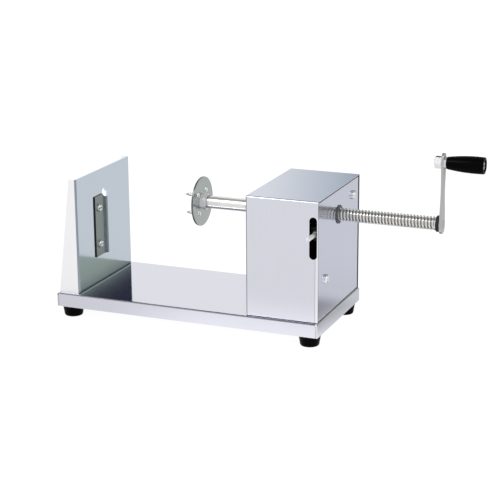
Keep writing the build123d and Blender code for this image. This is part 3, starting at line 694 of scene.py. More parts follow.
def lay_over(
    graph: Graph, patches: Iterable[Patch | Ring], colour: Socket, rough: Socket
) -> tuple[Socket, Socket]:
    """Lays patches over a finish: each mixes in its colour, and the roughness is at least its own.

    Args:
        graph: The material's graph.
        patches: The patches, the lowest first.
        colour: The finish's colour.
        rough: Its roughness.

    Returns:
        The new colour and roughness.
    """
    for patch in patches:
        mask = patch.mask(graph)
        colour = graph.mix(mask, colour, patch.colour)
        rough = graph.math("MAXIMUM", rough, graph.math("MULTIPLY", mask, patch.roughness))
    return colour, rough


@dataclass(frozen=True)
class PolishedSheet:
    """Polished stainless sheet: a near mirror with rolling lines, slight waves and handling marks."""

    name: str
    colour: Colour
    roughness: float
    lines: Along
    line_depth: float = 0.3e-6
    wave_depth: float = 25e-6
    marks: float = 1.0
    patches: tuple[Patch | Ring, ...] = ()
    line_shade: float = 0.985
    line_rough: float = 0.04
    smudge_rough: float = 0.035
    scratch_rough: float = 0.12

    def make(self, shelf: EffectShelf) -> bpy.types.Material:
        """Makes the material.

        Args:
            shelf: The shared effects.

        Returns:
            The material.
        """
        material, graph, shader = empty_material(self.name)
        grain = shelf.place(graph, Effect.SHEET_GRAIN, Stretch=self.lines.value)
        marks = shelf.place(graph, Effect.HANDLING)
        shade = tuple(self.line_shade * channel for channel in self.colour)
        colour = graph.mix(graph.steps(grain.outputs["Lines"], 0.35, 0.65), shade, self.colour)
        level = self.roughness - self.line_rough / 2
        rough = graph.chain(
            "ADD",
            graph.math("MULTIPLY_ADD", grain.outputs["Lines"], self.line_rough, level),
            graph.math("MULTIPLY", marks.outputs["Smudges"], self.smudge_rough * self.marks),
            graph.math("MULTIPLY", marks.outputs["Scratches"], self.scratch_rough * self.marks),
        )
        colour, rough = lay_over(graph, self.patches, colour, rough)
        waves = bump(graph, grain.outputs["Waviness"], self.wave_depth)
        lines = bump(graph, grain.outputs["Lines"], self.line_depth)
        graph.feed(lines.inputs["Normal"], waves.outputs["Normal"])
        finish_shader(graph, shader, colour, rough, lines)
        shader.inputs["Metallic"].default_value = 1.0
        return material


@dataclass(frozen=True)
class TurnedMetal:
    """Turned or pressed metal: rings from the tool along the screw's axis, and a mottled tone."""

    name: str
    colour: Colour
    roughness: float
    ring_depth: float = 0.6e-6
    mottle: float = 0.12
    metal: float = 1.0
    patches: tuple[Patch | Ring, ...] = ()
    ring_rough: float = 0.08
    smudge_rough: float = 0.06

    def make(self, shelf: EffectShelf) -> bpy.types.Material:
        """Makes the material.

        Args:
            shelf: The shared effects.

        Returns:
            The material.
        """
        material, graph, shader = empty_material(self.name)
        turning = shelf.place(graph, Effect.TURNING)
        marks = shelf.place(graph, Effect.HANDLING, Smudge_Scale=120.0, Scratch_Scale=240.0)
        shade = tuple((1.0 - self.mottle) * channel for channel in self.colour)
        colour = graph.mix(graph.steps(turning.outputs["Tone"], 0.35, 0.7), shade, self.colour)
        rough = graph.chain(
            "ADD",
            graph.math("MULTIPLY", turning.outputs["Rings"], self.ring_rough),
            self.roughness - self.ring_rough / 2,
            graph.math("MULTIPLY", marks.outputs["Smudges"], self.smudge_rough),
        )
        colour, rough = lay_over(graph, self.patches, colour, rough)
        rings = bump(graph, turning.outputs["Rings"], self.ring_depth)
        finish_shader(graph, shader, colour, rough, rings)
        shader.inputs["Metallic"].default_value = self.metal
        return material


@dataclass(frozen=True)
class MouldedPlastic:
    """Moulded rubber or plastic: an orange peel skin with a little dust on top."""

    name: str
    colour: Colour
    roughness: float
    peel_depth: float = 4e-6
    dust: float = 0.05
    shine: float = 0.25
    peel_rough: float = 0.1
    dust_rough: float = 0.2

    def make(self, shelf: EffectShelf) -> bpy.types.Material:
        """Makes the material.

        Args:
            shelf: The shared effects.

        Returns:
            The material.
        """
        material, graph, shader = empty_material(self.name)
        skin = shelf.place(graph, Effect.MOULDING)
        dusty = tuple(channel + self.dust for channel in self.colour)
        colour = graph.mix(skin.outputs["Dust"], self.colour, dusty)
        rough = graph.chain(
            "ADD",
            graph.math("MULTIPLY", skin.outputs["Peel"], self.peel_rough),
            self.roughness - self.peel_rough / 2,
            graph.math("MULTIPLY", skin.outputs["Dust"], self.dust_rough),
        )
        peel = bump(graph, skin.outputs["Peel"], self.peel_depth)
        finish_shader(graph, shader, colour, rough, peel)
        shader.inputs["Metallic"].default_value = 0.0
        shader.inputs["Specular IOR Level"].default_value = self.shine
        return material


# ------------------------------------------------------------------ sub-assemblies
@dataclass
class Workshop:
    """What every sub-assembly needs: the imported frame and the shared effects."""

    frame: dict[str, Any]
    shelf: EffectShelf

    def dress(self, finish: bpy.types.Material, *nodes: str) -> None:
        """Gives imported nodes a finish.

        Args:
            finish: The material.
            nodes: The nodes' names.
        """
        for node in nodes:
            for slot in self.frame["nodes"][node].material_slots:
                slot.material = finish
            LOG.info("dressed %s in %s", node, finish.name)

    def add(self, piece: bpy.types.Object, body: Body, slot: str, node: str) -> None:
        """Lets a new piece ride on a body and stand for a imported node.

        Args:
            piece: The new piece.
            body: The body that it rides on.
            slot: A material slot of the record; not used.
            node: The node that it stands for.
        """
        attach(piece, body.value)
        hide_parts(node)
        LOG.info("made %s", piece.name)


def turned_piece(
    name: str,
    corners: Sequence[Triple],
    origin: Vector,
    along: Vector,
    finish: bpy.types.Material,
    around: int = 96,
    closed: bool = True,
) -> bpy.types.Object:
    """Makes a turned piece from a profile with rounded corners.

    Args:
        name: The piece's name.
        corners: The profile, as (along, radius, rounding).
        origin: Where the axis starts.
        along: The axis.
        finish: The material.
        around: How many steps go round.
        closed: Whether the profile is a ring that doesn't reach the axis and ends where it starts.

    Returns:
        The piece.
    """
    profile = rounded_profile(corners)
    if closed:
        profile = profile[:-1]
    points = turned_points(profile, origin, along, around)
    return mesh_piece(name, grid_mesh(name, points, closed, True), finish)


def left_middle(low: Vector, high: Vector) -> Vector:
    """Gives the middle of a box's left face, from the box's lowest and highest corners."""
    return Vector((low.x, (low.y + high.y) / 2, (low.z + high.z) / 2))


@dataclass
class Base:
    """The folded tray and its four rubber feet."""

    shop: Workshop
    tray_bend: float = 1.1 * MM
    foot_rounding: float = 1.6 * MM
    foot_taper: float = 1.75 * MM
    foot_bead: float = 0.35 * MM
    foot_bead_height: float = 1.4 * MM
    foot_bead_rounding: float = 0.4 * MM
    foot_recess_radius: float = 4.75 * MM
    foot_recess_depth: float = 5.5 * MM
    foot_hole_radius: float = 2.2 * MM

    def build(self) -> None:
        """Dresses the tray and its fasteners, and makes the feet."""
        shelf = self.shop.shelf
        box = low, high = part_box("base_tray")
        # Painted shade: the tray's front top bend is painted near black, which dims the bright line that
        # it mirrors.
        shaded_bend = patch_in(
            box, (0.10, 0.10, 0.12), 0.2,
            y=(None, low.y + self.tray_bend), z=(high.z - self.tray_bend, None),
        )
        tray = PolishedSheet(
            "tray_sheet", (0.68, 0.68, 0.755), 0.06, Along.X, marks=0.3, patches=(shaded_bend,)
        ).make(shelf)
        zinc = TurnedMetal("base_fastener", (0.72, 0.72, 0.75), 0.22).make(shelf)
        self.shop.dress(tray, "base_tray")
        self.shop.dress(zinc, "foot_screws", "foot_nuts")
        rubber = MouldedPlastic(
            "foot_rubber", (0.0015, 0.0015, 0.002), 0.3, dust=0.002, shine=0.03
        ).make(shelf)
        for end in ("left", "right"):
            for side in ("front", "back"):
                self._foot(f"foot_{side}_{end}", rubber)

    def _foot(self, node: str, rubber: bpy.types.Material) -> None:
        """Makes a foot: a cone frustum turned from a profile, with a bead on top and a recess below.

        Args:
            node: The foot's node.
            rubber: Its material.
        """
        low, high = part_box(node)
        centre = Vector(((low.x + high.x) / 2, (low.y + high.y) / 2, 0.0))
        top, height = (high.x - low.x) / 2, high.z
        bead_z = height - self.foot_bead_height
        bead_rounding = self.foot_bead_rounding
        corners = [
            (self.foot_recess_depth, self.foot_hole_radius, 0.0),
            (self.foot_recess_depth, self.foot_recess_radius, 0.2 * MM),
            (0.0, self.foot_recess_radius, 0.5 * MM),
            (0.0, top - self.foot_taper, self.foot_rounding),
            (bead_z - bead_rounding, top - self.foot_bead, 0.3 * MM),
            (bead_z, top, bead_rounding),
            (height, top, bead_rounding),
            (height, self.foot_hole_radius, 0.1 * MM),
            (self.foot_recess_depth, self.foot_hole_radius, 0.0),
        ]
        piece = turned_piece(node + "_moulding", corners, centre, UPWARD, rubber)
        self.shop.add(piece, Body.FRAME, "black_rubber", node)


@dataclass
class BladeStation:
    """The upright, the blade on it and what holds them."""

    shop: Workshop
    stand_sheet: float = 1.6 * MM
    stand_fold: float = 0.9 * MM
    blade_edge: float = 0.8 * MM

    def build(self) -> None:
        """Dresses the stand, the blade and their fasteners."""
        shelf = self.shop.shelf
        box = low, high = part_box("blade_stand")
        web = high.x - self.stand_sheet
        # Painted light: the stand's flanges are painted much lighter than its web, and are rougher.
        lit_flanges = patch_in(box, (0.93, 0.93, 0.945), 0.34, x=(None, web))
        # Painted shade: the web's front fold is painted dark.
        fold = patch_in(
            box, (0.30, 0.33, 0.36), 0.3, x=(web, None), y=(None, low.y + self.stand_fold)
        )
        stand = PolishedSheet(
            "stand_sheet", (0.645, 0.72, 0.80), 0.11, Along.Z,
            line_depth=0.15e-6, wave_depth=6e-6, marks=0.3, patches=(lit_flanges, fold),
        ).make(shelf)
        box = low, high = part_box("slicing_blade")
        # The blade's edge strip is near black.
        edge = patch_in(box, (0.02, 0.025, 0.025), 0.4, y=(None, low.y + self.blade_edge))
        blade = PolishedSheet(
            "blade_strip", (0.26, 0.30, 0.285), 0.3, Along.Z,
            line_depth=1.2e-6, wave_depth=8e-6, patches=(edge,),
        ).make(shelf)
        screws = TurnedMetal("stand_fastener", (0.78, 0.78, 0.79), 0.13, mottle=0.2).make(shelf)
        self.shop.dress(stand, "blade_stand")
        self.shop.dress(blade, "slicing_blade")
        self.shop.dress(screws, "blade_screws", "blade_nuts", "stand_screws", "stand_nuts")


@dataclass
class Housing:
    """The sheet metal box: its cover, the drive frame in it, the bushes and the bolts that show."""

    shop: Workshop
    cover_sheet: float = 1.2 * MM
    frame_sheet: float = 1.5 * MM
    edge_band: float = 2.4 * MM
    edge_crease: float = 0.4 * MM
    crease_top: float = 84.0 * MM
    rim_top: float = 119.0 * MM
    cut_edge: float = 0.8 * MM
    frame_foot: float = 1.9 * MM
    # Painted shade: the dark colour and roughness that the inside faces of the cover and the frame are
    # painted with.
    painted_inside_shade: tuple[Colour, float] = ((0.16, 0.16, 0.17), 0.55)

    def build(self) -> None:
        """Dresses the box and what shows on it."""
        shelf, dress = self.shop.shelf, self.shop.dress
        dress(self._cover(shelf), "housing_cover")
        dress(self._walls(shelf), "drive_frame")
        bolts = TurnedMetal("panel_bolt", (0.84, 0.84, 0.86), 0.12, mottle=0.08).make(shelf)
        inner = TurnedMetal("inner_fastener", (0.5, 0.5, 0.52), 0.3).make(shelf)
        nylon = MouldedPlastic(
            "grey_nylon", (0.09, 0.09, 0.11), 0.4, dust=0.01, shine=0.3
        ).make(shelf)
        ring = TurnedMetal("ring_steel", (0.4, 0.4, 0.42), 0.3).make(shelf)
        dress(bolts, "lever_pivot_bolt", "spring_anchor_bolt")
        dress(inner, "frame_screws", "frame_nuts", "cover_screws", "cover_weld_nuts")
        dress(inner, "pivot_nut", "pivot_spacer", "spring_anchor_nuts")
        dress(nylon, "left_bush", "right_bush")
        dress(ring, "left_bush_ring", "right_bush_ring")

    def _cover(self, shelf: EffectShelf) -> bpy.types.Material:
        """Makes the cover's finish: bright outside, with its cut edges apart, its top painted darker and
        bluer as painted shade, its edge band painted lighter as a painted highlight, and its crease, its
        front bend and its inside painted dark as painted shade.

        Args:
            shelf: The shared effects.

        Returns:
            The material.
        """
        box = low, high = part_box("housing_cover")
        wall, fold = self.cover_sheet, high.x - self.edge_band
        front = (None, low.y + wall)
        # Painted highlight: a band along the cover's open end is painted lighter, and is rougher.
        rim = patch_in(box, (0.83, 0.83, 0.86), 0.3, x=(fold, None), z=(None, self.rim_top))
        # Painted shade: the cover's top is painted darker and bluer than its sides.
        top = patch_in(
            box, (0.585, 0.615, 0.70), 0.14, y=(low.y + wall, None), z=(high.z - 0.5 * wall, None)
        )
        # Painted shade: a thin line at the fold before the edge band is painted dark.
        shaded_crease = patch_in(
            box, (0.3, 0.3, 0.32), 0.3, x=(fold - self.edge_crease, fold), z=(None, self.crease_top)
        )
        # Painted shade: the top of the front bend is painted dark.
        shaded_bend = patch_in(box, (0.18, 0.19, 0.22), 0.2, y=front, z=(high.z - 0.3 * wall, None))
        cut = patch_in(box, (0.25, 0.25, 0.28), 0.3, x=(None, low.x + self.cut_edge), y=front)
        # Painted shade: the cover's inside faces are painted dark.
        inner = patch_in(
            box, *self.painted_inside_shade,
            y=(low.y + 0.5 * wall, high.y - 0.5 * wall), z=(None, high.z - 0.5 * wall),
        )
        return PolishedSheet(
            "cover_sheet", (0.70, 0.71, 0.775), 0.14, Along.Z,
            marks=0.5, patches=(rim, top, shaded_crease, shaded_bend, cut, inner),
        ).make(shelf)

    def _walls(self, shelf: EffectShelf) -> bpy.types.Material:
        """Makes the drive frame's finish: bright outside, lighter and rougher at its foot, and painted
        dark inside as painted shade.

        Args:
            shelf: The shared effects.

        Returns:
            The material.
        """
        box = low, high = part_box("drive_frame")
        middle = 0.5 * self.frame_sheet
        foot = patch_in(box, (0.75, 0.77, 0.83), 0.5, z=(None, low.z + self.frame_foot))
        # Painted shade: the frame's inside faces are painted dark.
        inner = patch_in(box, *self.painted_inside_shade, x=(low.x + middle, high.x - middle))
        return PolishedSheet(
            "wall_sheet", (0.645, 0.67, 0.79), 0.15, Along.Z, marks=0.5, patches=(foot, inner)
        ).make(shelf)


@dataclass
class LeverUnit:
    """The sprung lever inside the box, which holds the half nut on the thread."""

    shop: Workshop
    wire: float = 1.0 * MM
    turns: int = 12
    steps_per_turn: int = 28
    steps_around: int = 12
    hook_share: float = 0.95
    run_up: float = 2.0 * MM

    def build(self) -> None:
        """Dresses the lever's pieces and winds its spring."""
        shelf, dress = self.shop.shelf, self.shop.dress
        # Painted shade: the lever's plate, inside the box, is painted near black.
        plate = PolishedSheet(
            "lever_strip", (0.035, 0.035, 0.038), 0.5, Along.Y, line_depth=1.5e-6
        ).make(shelf)
        brass = TurnedMetal("half_nut_brass", (0.72, 0.52, 0.22), 0.24).make(shelf)
        pin = TurnedMetal("bright_pin", (0.9, 0.9, 0.9), 0.3, metal=0.25).make(shelf)
        screws = TurnedMetal("lever_fastener", (0.6, 0.6, 0.62), 0.25).make(shelf)
        # Painted shade: the spring and its post, inside the box, are painted near black.
        wire = TurnedMetal("spring_wire", (0.03, 0.03, 0.032), 0.45).make(shelf)
        dress(plate, "lever_plate")
        dress(brass, "half_nut")
        dress(pin, "lever_pin")
        dress(wire, "spring_post")
        dress(screws, "half_nut_screws")
        self._spring(wire)

    def _spring(self, wire: bpy.types.Material) -> None:
        """Winds the spring as one unbroken wire: a loop, a helix and a loop.

        The helix is (R cos a, R sin a, rise a / 2 pi), and each loop is most of a circle in the plane
        of Y and Z. A straight run joins each loop to the helix.

        Args:
            wire: The wire's material.
        """
        low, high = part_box("lever_spring")
        centre = (low + high) / 2
        radius = (high.x - low.x - self.wire) / 2
        loop = (high.y - low.y - self.wire) / 2
        lower, upper = low.z + self.wire / 2 + loop, high.z - self.wire / 2 - loop
        bottom, top = lower + loop + self.run_up, upper - loop - self.run_up
        angle = np.linspace(0.0, 2 * math.pi * self.turns, self.turns * self.steps_per_turn)
        turn = np.linspace(0.0, 2 * math.pi * self.hook_share, self.steps_per_turn)
        runs = (
            (centre.x, centre.y + loop * np.sin(turn[::-1]), lower + loop * np.cos(turn[::-1])),
            (
                centre.x + radius * np.cos(angle),
                centre.y + radius * np.sin(angle),
                bottom + (top - bottom) * angle / angle[-1],
            ),
            (centre.x, centre.y + loop * np.sin(turn), upper - loop * np.cos(turn)),
        )
        path = np.concatenate([np.stack(np.broadcast_arrays(*run), axis=1) for run in runs])
        points = tube_points(path, self.wire / 2, self.steps_around)
        mesh = grid_mesh("lever_spring_wire", points, False, True)
        piece = mesh_piece("lever_spring_wire", mesh, wire)
        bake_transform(piece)
        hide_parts("lever_spring")
        LOG.info("made %s", piece.name)


@dataclass
class FeedScrew:
    """The lead screw with the pronged disc at its left end and the rubber bumper at its right."""

    shop: Workshop
    axis_z: float = 109.5 * MM
    root_radius: float = 4.5 * MM
    crest_radius: float = 5.7 * MM
    rim_radius: float = 22.9 * MM
    rim_fade: float = 0.3 * MM
    prong_count: int = 4
    prong_steps: int = 40
    prong_radius: float = 1.5 * MM
    prong_point: float = 4.0 * MM
    prong_rounding: float = 0.8 * MM
    rivet_radius: float = 2.8 * MM
    rivet_height: float = 1.3 * MM
    rivet_steps: int = 10
    bumper_rounding: float = 1.0 * MM
    bumper_bore: float = 6.2 * MM

    def build(self) -> None:
        """Dresses the screw and the disc, and makes the prongs and the bumper."""
        shelf, dress = self.shop.shelf, self.shop.dress
        # The thread's roots are darker and rougher: partly grime, and partly painted shade in the
        # grooves.
        root_grime_and_shade = Ring(self.axis_z, self.root_radius, self.crest_radius, (0.40, 0.39, 0.37), 0.25)
        # The disc is near black in a narrow band at its rim.
        inside = self.rim_radius - self.rim_fade
        rim = Ring(self.axis_z, self.rim_radius, inside, (0.12, 0.13, 0.13), 0.3)
        screw = TurnedMetal(
            "screw_steel", (0.80, 0.795, 0.78), 0.13, ring_depth=0.8e-6, patches=(root_grime_and_shade,)
        ).make(shelf)
        disc = PolishedSheet(
            "disc_sheet", (0.46, 0.50, 0.49), 0.2, Along.Y, line_depth=0.8e-6, patches=(rim,)
        ).make(shelf)
        hub = TurnedMetal("hub_steel", (0.95, 0.95, 0.94), 0.35, metal=0.45).make(shelf)
        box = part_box("pronged_disc")
        back = box[1].x
        tails = patch_in(box, (0.9, 0.9, 0.9), 0.16, x=(back, back + 2 * self.rivet_height))
        prong = TurnedMetal("prong_steel", (0.50, 0.50, 0.51), 0.16, patches=(tails,)).make(shelf)
        grub = TurnedMetal("grub_screw", (0.3, 0.3, 0.32), 0.3).make(shelf)
        rubber = MouldedPlastic(
            "bumper_rubber", (0.022, 0.021, 0.02), 0.45, dust=0.02, shine=0.2
        ).make(shelf)
        dress(screw, "lead_screw")
        dress(hub, "disc_hub")
        dress(disc, "pronged_disc")
        for number in range(1, self.prong_count + 1):
            self._prong(f"prong_{number}", prong)
        dress(grub, "hub_screw")
        self._bumper(rubber)

    def _prong(self, node: str, steel: bpy.types.Material) -> None:
        """Makes a prong: a cone, a shank and a riveted tail, turned about X.

        The tail is a quarter of an ellipse, whose points are (H cos a, R sin a) from its flat side, with
        the angle going from a right one to zero.

        Args:
            node: The prong's node.
            steel: Its material.
        """
        low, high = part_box(node)
        flat = high.x - low.x - self.rivet_height
        angle = np.linspace(0.5 * math.pi, 0.0, self.rivet_steps)
        tail = zip(flat + self.rivet_height * np.cos(angle), self.rivet_radius * np.sin(angle))
        corners = [
            (0.0, 0.0, 0.0),
            (self.prong_point, self.prong_radius, self.prong_rounding),
            (flat, self.prong_radius, 0.05 * MM),
            *((a, r, 0.0) for a, r in tail),
        ]
        tip = left_middle(low, high)
        piece = turned_piece(
            node + "_pin", corners, tip, ALONG_SCREW, steel, self.prong_steps, closed=False
        )
        self.shop.add(piece, Body.ROD, "pin_steel", node)

    def _bumper(self, rubber: bpy.types.Material) -> None:
        """Makes the rubber ring: a rounded section turned about the screw's axis.

        Args:
            rubber: Its material.
        """
        low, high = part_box("rod_bumper")
        outer, width = (high.y - low.y) / 2, high.x - low.x
        corners = [
            (width / 2, self.bumper_bore, 0.0),
            (0.0, self.bumper_bore, 0.3 * MM),
            (0.0, outer, self.bumper_rounding),
            (width, outer, self.bumper_rounding),
            (width, self.bumper_bore, 0.3 * MM),
            (width / 2, self.bumper_bore, 0.0),
        ]
        piece = turned_piece("bumper_ring", corners, left_middle(low, high), ALONG_SCREW, rubber)
        self.shop.add(piece, Body.BUMPER, "grey_rubber", "rod_bumper")


@dataclass
class Crank:
    """The crank's arm and the grip that spins on its spindle."""

    shop: Workshop
    bore: float = 3.15 * MM
    recess_radius: float = 5.0 * MM
    recess_depth: float = 3.4 * MM
    inner_radius: float = 5.4 * MM
    swell_radius: float = 6.9 * MM
    outer_radius: float = 7.35 * MM
    swell_share: float = 0.35
    side_steps: int = 26
    inner_rounding: float = 1.1 * MM
    outer_rounding: float = 1.5 * MM

    def build(self) -> None:
        """Dresses the arm and its hardware, and makes the grip."""
        shelf = self.shop.shelf
        arm = PolishedSheet(
            "arm_strip", (0.46, 0.465, 0.475), 0.2, Along.Z, line_depth=1.0e-6, wave_depth=60e-6
        ).make(shelf)
        nut = TurnedMetal("crank_fastener", (0.68, 0.68, 0.70), 0.14).make(shelf)
        self.shop.dress(arm, "crank_arm")
        self.shop.dress(nut, "grip_washer", "grip_spindle", "spindle_nut")
        grip = MouldedPlastic(
            "grip_plastic", (0.001, 0.001, 0.0015), 0.2, peel_depth=2e-6, dust=0.002, shine=0.03
        ).make(shelf)
        self._grip(grip)

    def _grip(self, plastic: bpy.types.Material) -> None:
        """Makes the grip: a smooth swell from its neck to its end, turned about the spindle.

        The outside is a parabola through the neck's, the swell's and the end's radii, with a rim
        rounded at both ends and a recess for the spindle's head.

        Args:
            plastic: Its material.
        """
        low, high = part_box("crank_grip")
        length = high.x - low.x
        floor = length - self.recess_depth
        along = np.linspace(0.0, 1.0, self.side_steps)[1:-1]
        radii = [self.inner_radius, self.swell_radius, self.outer_radius]
        radius = np.polyval(np.polyfit([0.0, self.swell_share, 1.0], radii, 2), along)
        corners = [
            (floor, self.bore, 0.0),
            (0.0, self.bore, 0.3 * MM),
            (0.0, self.inner_radius, self.inner_rounding),
            *((a * length, r, 0.0) for a, r in zip(along, radius)),
            (length, self.outer_radius, self.outer_rounding),
            (length, self.recess_radius, 0.5 * MM),
            (floor, self.recess_radius, 0.3 * MM),
            (floor, self.bore, 0.0),
        ]
        piece = turned_piece("grip_moulding", corners, left_middle(low, high), ALONG_SCREW, plastic)
        self.shop.add(piece, Body.GRIP, "black_grip", "crank_grip")


# ------------------------------------------------------------------ studio
@dataclass(frozen=True)
class FloorZone:
    """A stretch of floor with its own tone in mirror images, which stands for shade or for light."""

    x: tuple[float, float]
    y: tuple[float, float]
    soft: float
    tone: float

    def over(self, graph: Graph, tone: Any, position: bpy.types.Node) -> Socket:
        """Blends this zone's tone over the tone so far.

        Args:
            graph: The floor's graph.
            tone: The tone so far.
            position: The Separate XYZ node of the place on the floor.

        Returns:
            The new tone.
        """
        across = graph.window(position.outputs["X"], *self.x, self.soft)
        deep = graph.window(position.outputs["Y"], *self.y, self.soft)
        inside = graph.math("MULTIPLY", across, deep)
        kept = graph.math("MULTIPLY", graph.math("SUBTRACT", 1.0, inside), tone)
        return graph.math("ADD", kept, graph.math("MULTIPLY", inside, self.tone))


FLOOR_ZONES = (
    FloorZone((-9.0, 9.0), (0.04, 9.0), 0.05, 0.78),
    FloorZone((-9.0, 9.0), (0.18, 9.0), 0.09, 0.80),
    FloorZone((-0.30, -0.10), (-0.135, -0.03), 0.045, 0.90),
    FloorZone((-0.04, 0.40), (-0.135, -0.03), 0.06, 1.32),
    FloorZone((0.15, 0.24), (-0.02, 0.08), 0.02, 0.30),
)


@dataclass(frozen=True)
class SoftBox:
    """A rectangular lamp: its name, its place, its width and height, and its power in watts."""

    name: str
    place: Triple
    size: tuple[float, float]
    watts: float

    def make(self, target: Vector) -> None:
        """Makes the lamp.

        Args:
            target: The point that it looks at.
        """
        data = bpy.data.lights.new(self.name, "AREA")
        data.shape = "RECTANGLE"
        data.size, data.size_y = self.size
        data.energy = self.watts
        lamp = bpy.data.objects.new(self.name, data)
        lamp.location = self.place
        lamp.rotation_mode = "QUATERNION"
        lamp.rotation_quaternion = (target - Vector(self.place)).to_track_quat("-Z", "Y")
        bpy.context.scene.collection.objects.link(lamp)


SOFT_BOXES = (
    SoftBox("key_softbox", (-0.75, -0.95, 1.25), (0.9, 0.6), 8.0),
    SoftBox("side_softbox", (1.25, -0.15, 0.9), (0.35, 0.9), 2.5),
)


@dataclass
class Studio:
    """The white floor and world, the card that mirror images show, the lamps and the camera."""

    azimuth: float = math.radians(22.28)
    elevation: float = math.radians(16.2)
    roll: float = math.radians(-0.39)
    distance: float = 1.3957
    target: Triple = (0.0424, 0.0, 0.0670)
    lens: float = 108.4
    sensor: float = 36.0
    clip: tuple[float, float] = (0.05, 20.0)
    world_light: float = 0.72
    ceiling: float = 0.45
    ceiling_over: tuple[float, float] = (0.40, 0.58)
    ceiling_behind: tuple[float, float] = (-0.48, -0.30)
    floor_half: float = 6.0
    floor_paint: Colour = (0.82, 0.82, 0.82)
    floor_in_front: float = 0.98
    floor_to_camera: float = 1.16
    glow_share: float = 0.8
    card_y: float = 0.62
    card_half: float = 1.6
    card_height: float = 1.3
    card_ends_over: tuple[float, float] = (0.55, 0.9)
    card_ends_right: tuple[float, float] = (0.65, 1.1)
    card_fade: tuple[float, float, float, float] = (-0.23, -0.02, 0.0, 0.75)
    card_from: tuple[float, float] = (-0.10, 0.12)
    card_line: tuple[float, float] = (0.657, 0.0945)
    card_line_soft: tuple[float, float] = (-0.006, 0.004)
    card_low: Colour = (0.52, 0.58, 0.46)
    card_dark: Colour = (0.025, 0.025, 0.05)
    card_blue: Colour = (0.33, 0.42, 0.50)

    def build(self) -> None:
        """Makes the studio."""
        self._world()
        self._floor()
        self._card()
        for lamp in SOFT_BOXES:
            lamp.make(Vector(self.target))
        self._camera()

    def _world(self) -> None:
        """Makes a white world whose ceiling, from overhead to behind, is grey in mirror images.

        It is a little dimmer for the light that it gives than for what is seen of it.
        """
        world = bpy.data.worlds.new("studio_world")
        bpy.context.scene.world = world
        world.use_nodes = True
        world.node_tree.nodes.clear()
        graph = Graph(world.node_tree)
        path = graph.node("ShaderNodeLightPath").outputs
        direction = graph.split("ShaderNodeTexCoord", "Generated")
        over = graph.steps(direction.outputs["Z"], *self.ceiling_over)
        behind = graph.steps(direction.outputs["Y"], *self.ceiling_behind)
        grey = graph.chain("MULTIPLY", over, behind, 1.0 - self.ceiling)
        mirrored = graph.math("MULTIPLY", path["Is Glossy Ray"], graph.math("SUBTRACT", 1.0, grey))
        seen = graph.chain("MAXIMUM", path["Is Camera Ray"], path["Is Transmission Ray"], mirrored)
        lighting = graph.math("SUBTRACT", 1.0, graph.math("MAXIMUM", path["Is Glossy Ray"], seen))
        strength = graph.math("MULTIPLY_ADD", lighting, self.world_light, seen)
        background = graph.node("ShaderNodeBackground", Color=(*WHITE, 1.0), Strength=strength)
        output = graph.node("ShaderNodeOutputWorld")
        graph.feed(output.inputs["Surface"], background.outputs[0])

    def _stage_plane(
        self, name: str, corner: Triple, across: Triple, up: Triple
    ) -> tuple[bpy.types.Object, Graph, bpy.types.Node, bpy.types.Node]:
        """Makes a flat stage piece: its corner, that plus each side, and that plus both sides.

        Args:
            name: The piece's name, and with _paint the name of its material.
            corner: Its first corner.
            across: The side from there across.
            up: The side from there up.

        Returns:
            The piece, its material's graph, its dull shader and a Separate XYZ of the place on it.
        """
        start, right, rise = (np.array(vector, float) for vector in (corner, across, up))
        grid = np.array([[start, start + right], [start + rise, start + right + rise]])
        piece = bpy.data.objects.new(name, grid_mesh(name, grid, False, False))
        bpy.context.scene.collection.objects.link(piece)
        material, graph, shader = empty_material(name + "_paint")
        shader.inputs["Specular IOR Level"].default_value = 0.0
        piece.data.materials.append(material)
        return piece, graph, shader, graph.split("ShaderNodeNewGeometry", "Position")

    def _floor(self) -> None:
        """Makes a white floor that keeps the shadow and shows as bright as the background."""
        half = self.floor_half
        _, graph, shader, position = self._stage_plane(
            "studio_floor", (-half, -half, 0.0), (2 * half, 0.0, 0.0), (0.0, 2 * half, 0.0)
        )
        shader.inputs["Base Color"].default_value = (*self.floor_paint, 1.0)
        shader.inputs["Roughness"].default_value = 0.9
        path = graph.node("ShaderNodeLightPath").outputs
        mirrored: Any = self.floor_in_front
        for zone in FLOOR_ZONES:
            mirrored = zone.over(graph, mirrored, position)
        camera = path["Is Camera Ray"]
        strength = graph.math("MULTIPLY", graph.math("SUBTRACT", 1.0, camera), mirrored)
        strength = graph.math("MULTIPLY_ADD", camera, self.floor_to_camera, strength)
        glow = graph.node("ShaderNodeEmission", Color=(*WHITE, 1.0), Strength=strength)
        seen = graph.chain("MAXIMUM", camera, path["Is Glossy Ray"], path["Is Transmission Ray"])
        blend = graph.node("ShaderNodeMixShader")
        mixed = (graph.math("MULTIPLY", seen, self.glow_share), shader.outputs[0], glow.outputs[0])
        for socket, value in zip(blend.inputs, mixed):
            graph.feed(socket, value)
        output = next(node for node in graph.tree.nodes if node.type == "OUTPUT_MATERIAL")
        graph.feed(output.inputs["Surface"], blend.outputs[0])

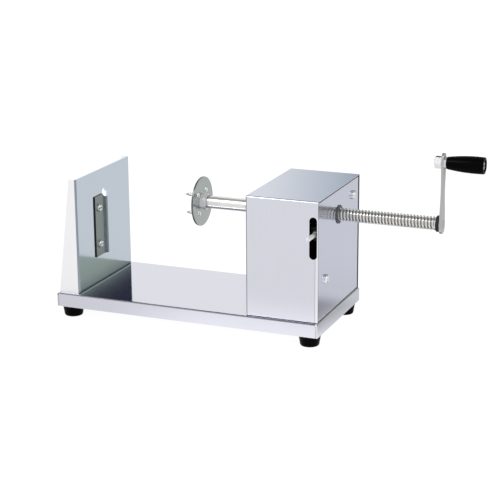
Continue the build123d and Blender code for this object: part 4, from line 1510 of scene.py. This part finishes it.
    def _card(self) -> None:
        """Makes a backdrop that only mirror images show.

        It is white at the left and fades to blue. At the right it is a card, which is green below a
        sloping line and dark above it.
        """
        card, graph, shader, position = self._stage_plane(
            "studio_card",
            (-self.card_half, self.card_y, 0.0),
            (2 * self.card_half, 0.0, 0.0),
            (0.0, 0.0, self.card_height),
        )
        shader.inputs["Base Color"].default_value = (0.0, 0.0, 0.0, 1.0)
        shader.inputs["Roughness"].default_value = 1.0
        across, high = position.outputs["X"], position.outputs["Z"]
        near = graph.math(
            "MULTIPLY",
            graph.steps(high, *self.card_ends_over, 1.0, 0.0),
            graph.steps(across, *self.card_ends_right, 1.0, 0.0),
        )
        fade = graph.math("MULTIPLY", near, graph.steps(across, *self.card_fade))
        right = graph.math("MULTIPLY", near, graph.steps(across, *self.card_from))
        line = graph.math("MULTIPLY_ADD", across, *self.card_line)
        above = graph.steps(graph.math("SUBTRACT", high, line), *self.card_line_soft)
        tone = graph.mix(fade, WHITE, self.card_blue)
        card_tone = graph.mix(above, self.card_low, self.card_dark)
        graph.feed(shader.inputs["Emission Color"], graph.mix(right, tone, card_tone))
        shader.inputs["Emission Strength"].default_value = 1.0
        for ray in ("camera", "diffuse", "shadow", "transmission"):
            setattr(card, "visible_" + ray, False)

    def _camera(self) -> None:
        """Stands the camera where the photograph was taken from, with a lens that fits its frame."""
        sin_a, cos_a = math.sin(self.azimuth), math.cos(self.azimuth)
        sin_e, cos_e = math.sin(self.elevation), math.cos(self.elevation)
        forward = Vector((-sin_a * cos_e, cos_a * cos_e, -sin_e))
        level_right = Vector((cos_a, sin_a, 0.0))
        level_up = level_right.cross(forward)
        right = level_right * math.cos(self.roll) + level_up * math.sin(self.roll)
        data = bpy.data.cameras.new("photo_camera")
        data.sensor_width, data.lens = self.sensor, self.lens
        data.clip_start, data.clip_end = self.clip
        camera = bpy.data.objects.new("photo_camera", data)
        turn = Matrix((right, right.cross(forward), -forward)).transposed().to_4x4()
        place = Vector(self.target) - forward * self.distance
        camera.matrix_world = Matrix.Translation(place) @ turn
        bpy.context.scene.collection.objects.link(camera)
        bpy.context.scene.camera = camera


def main() -> None:
    """Loads the frame, builds and dresses each sub-assembly, and sets the studio round it."""
    logging.basicConfig(level=logging.INFO, format="%(name)s: %(message)s")
    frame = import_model()
    shop = Workshop(frame, EffectShelf())
    for part in (Base, BladeStation, Housing, LeverUnit, FeedScrew, Crank):
        part(shop).build()
    Studio().build()
    bpy.context.scene.view_settings.view_transform = "Standard"


if __name__ == "__main__":
    main()
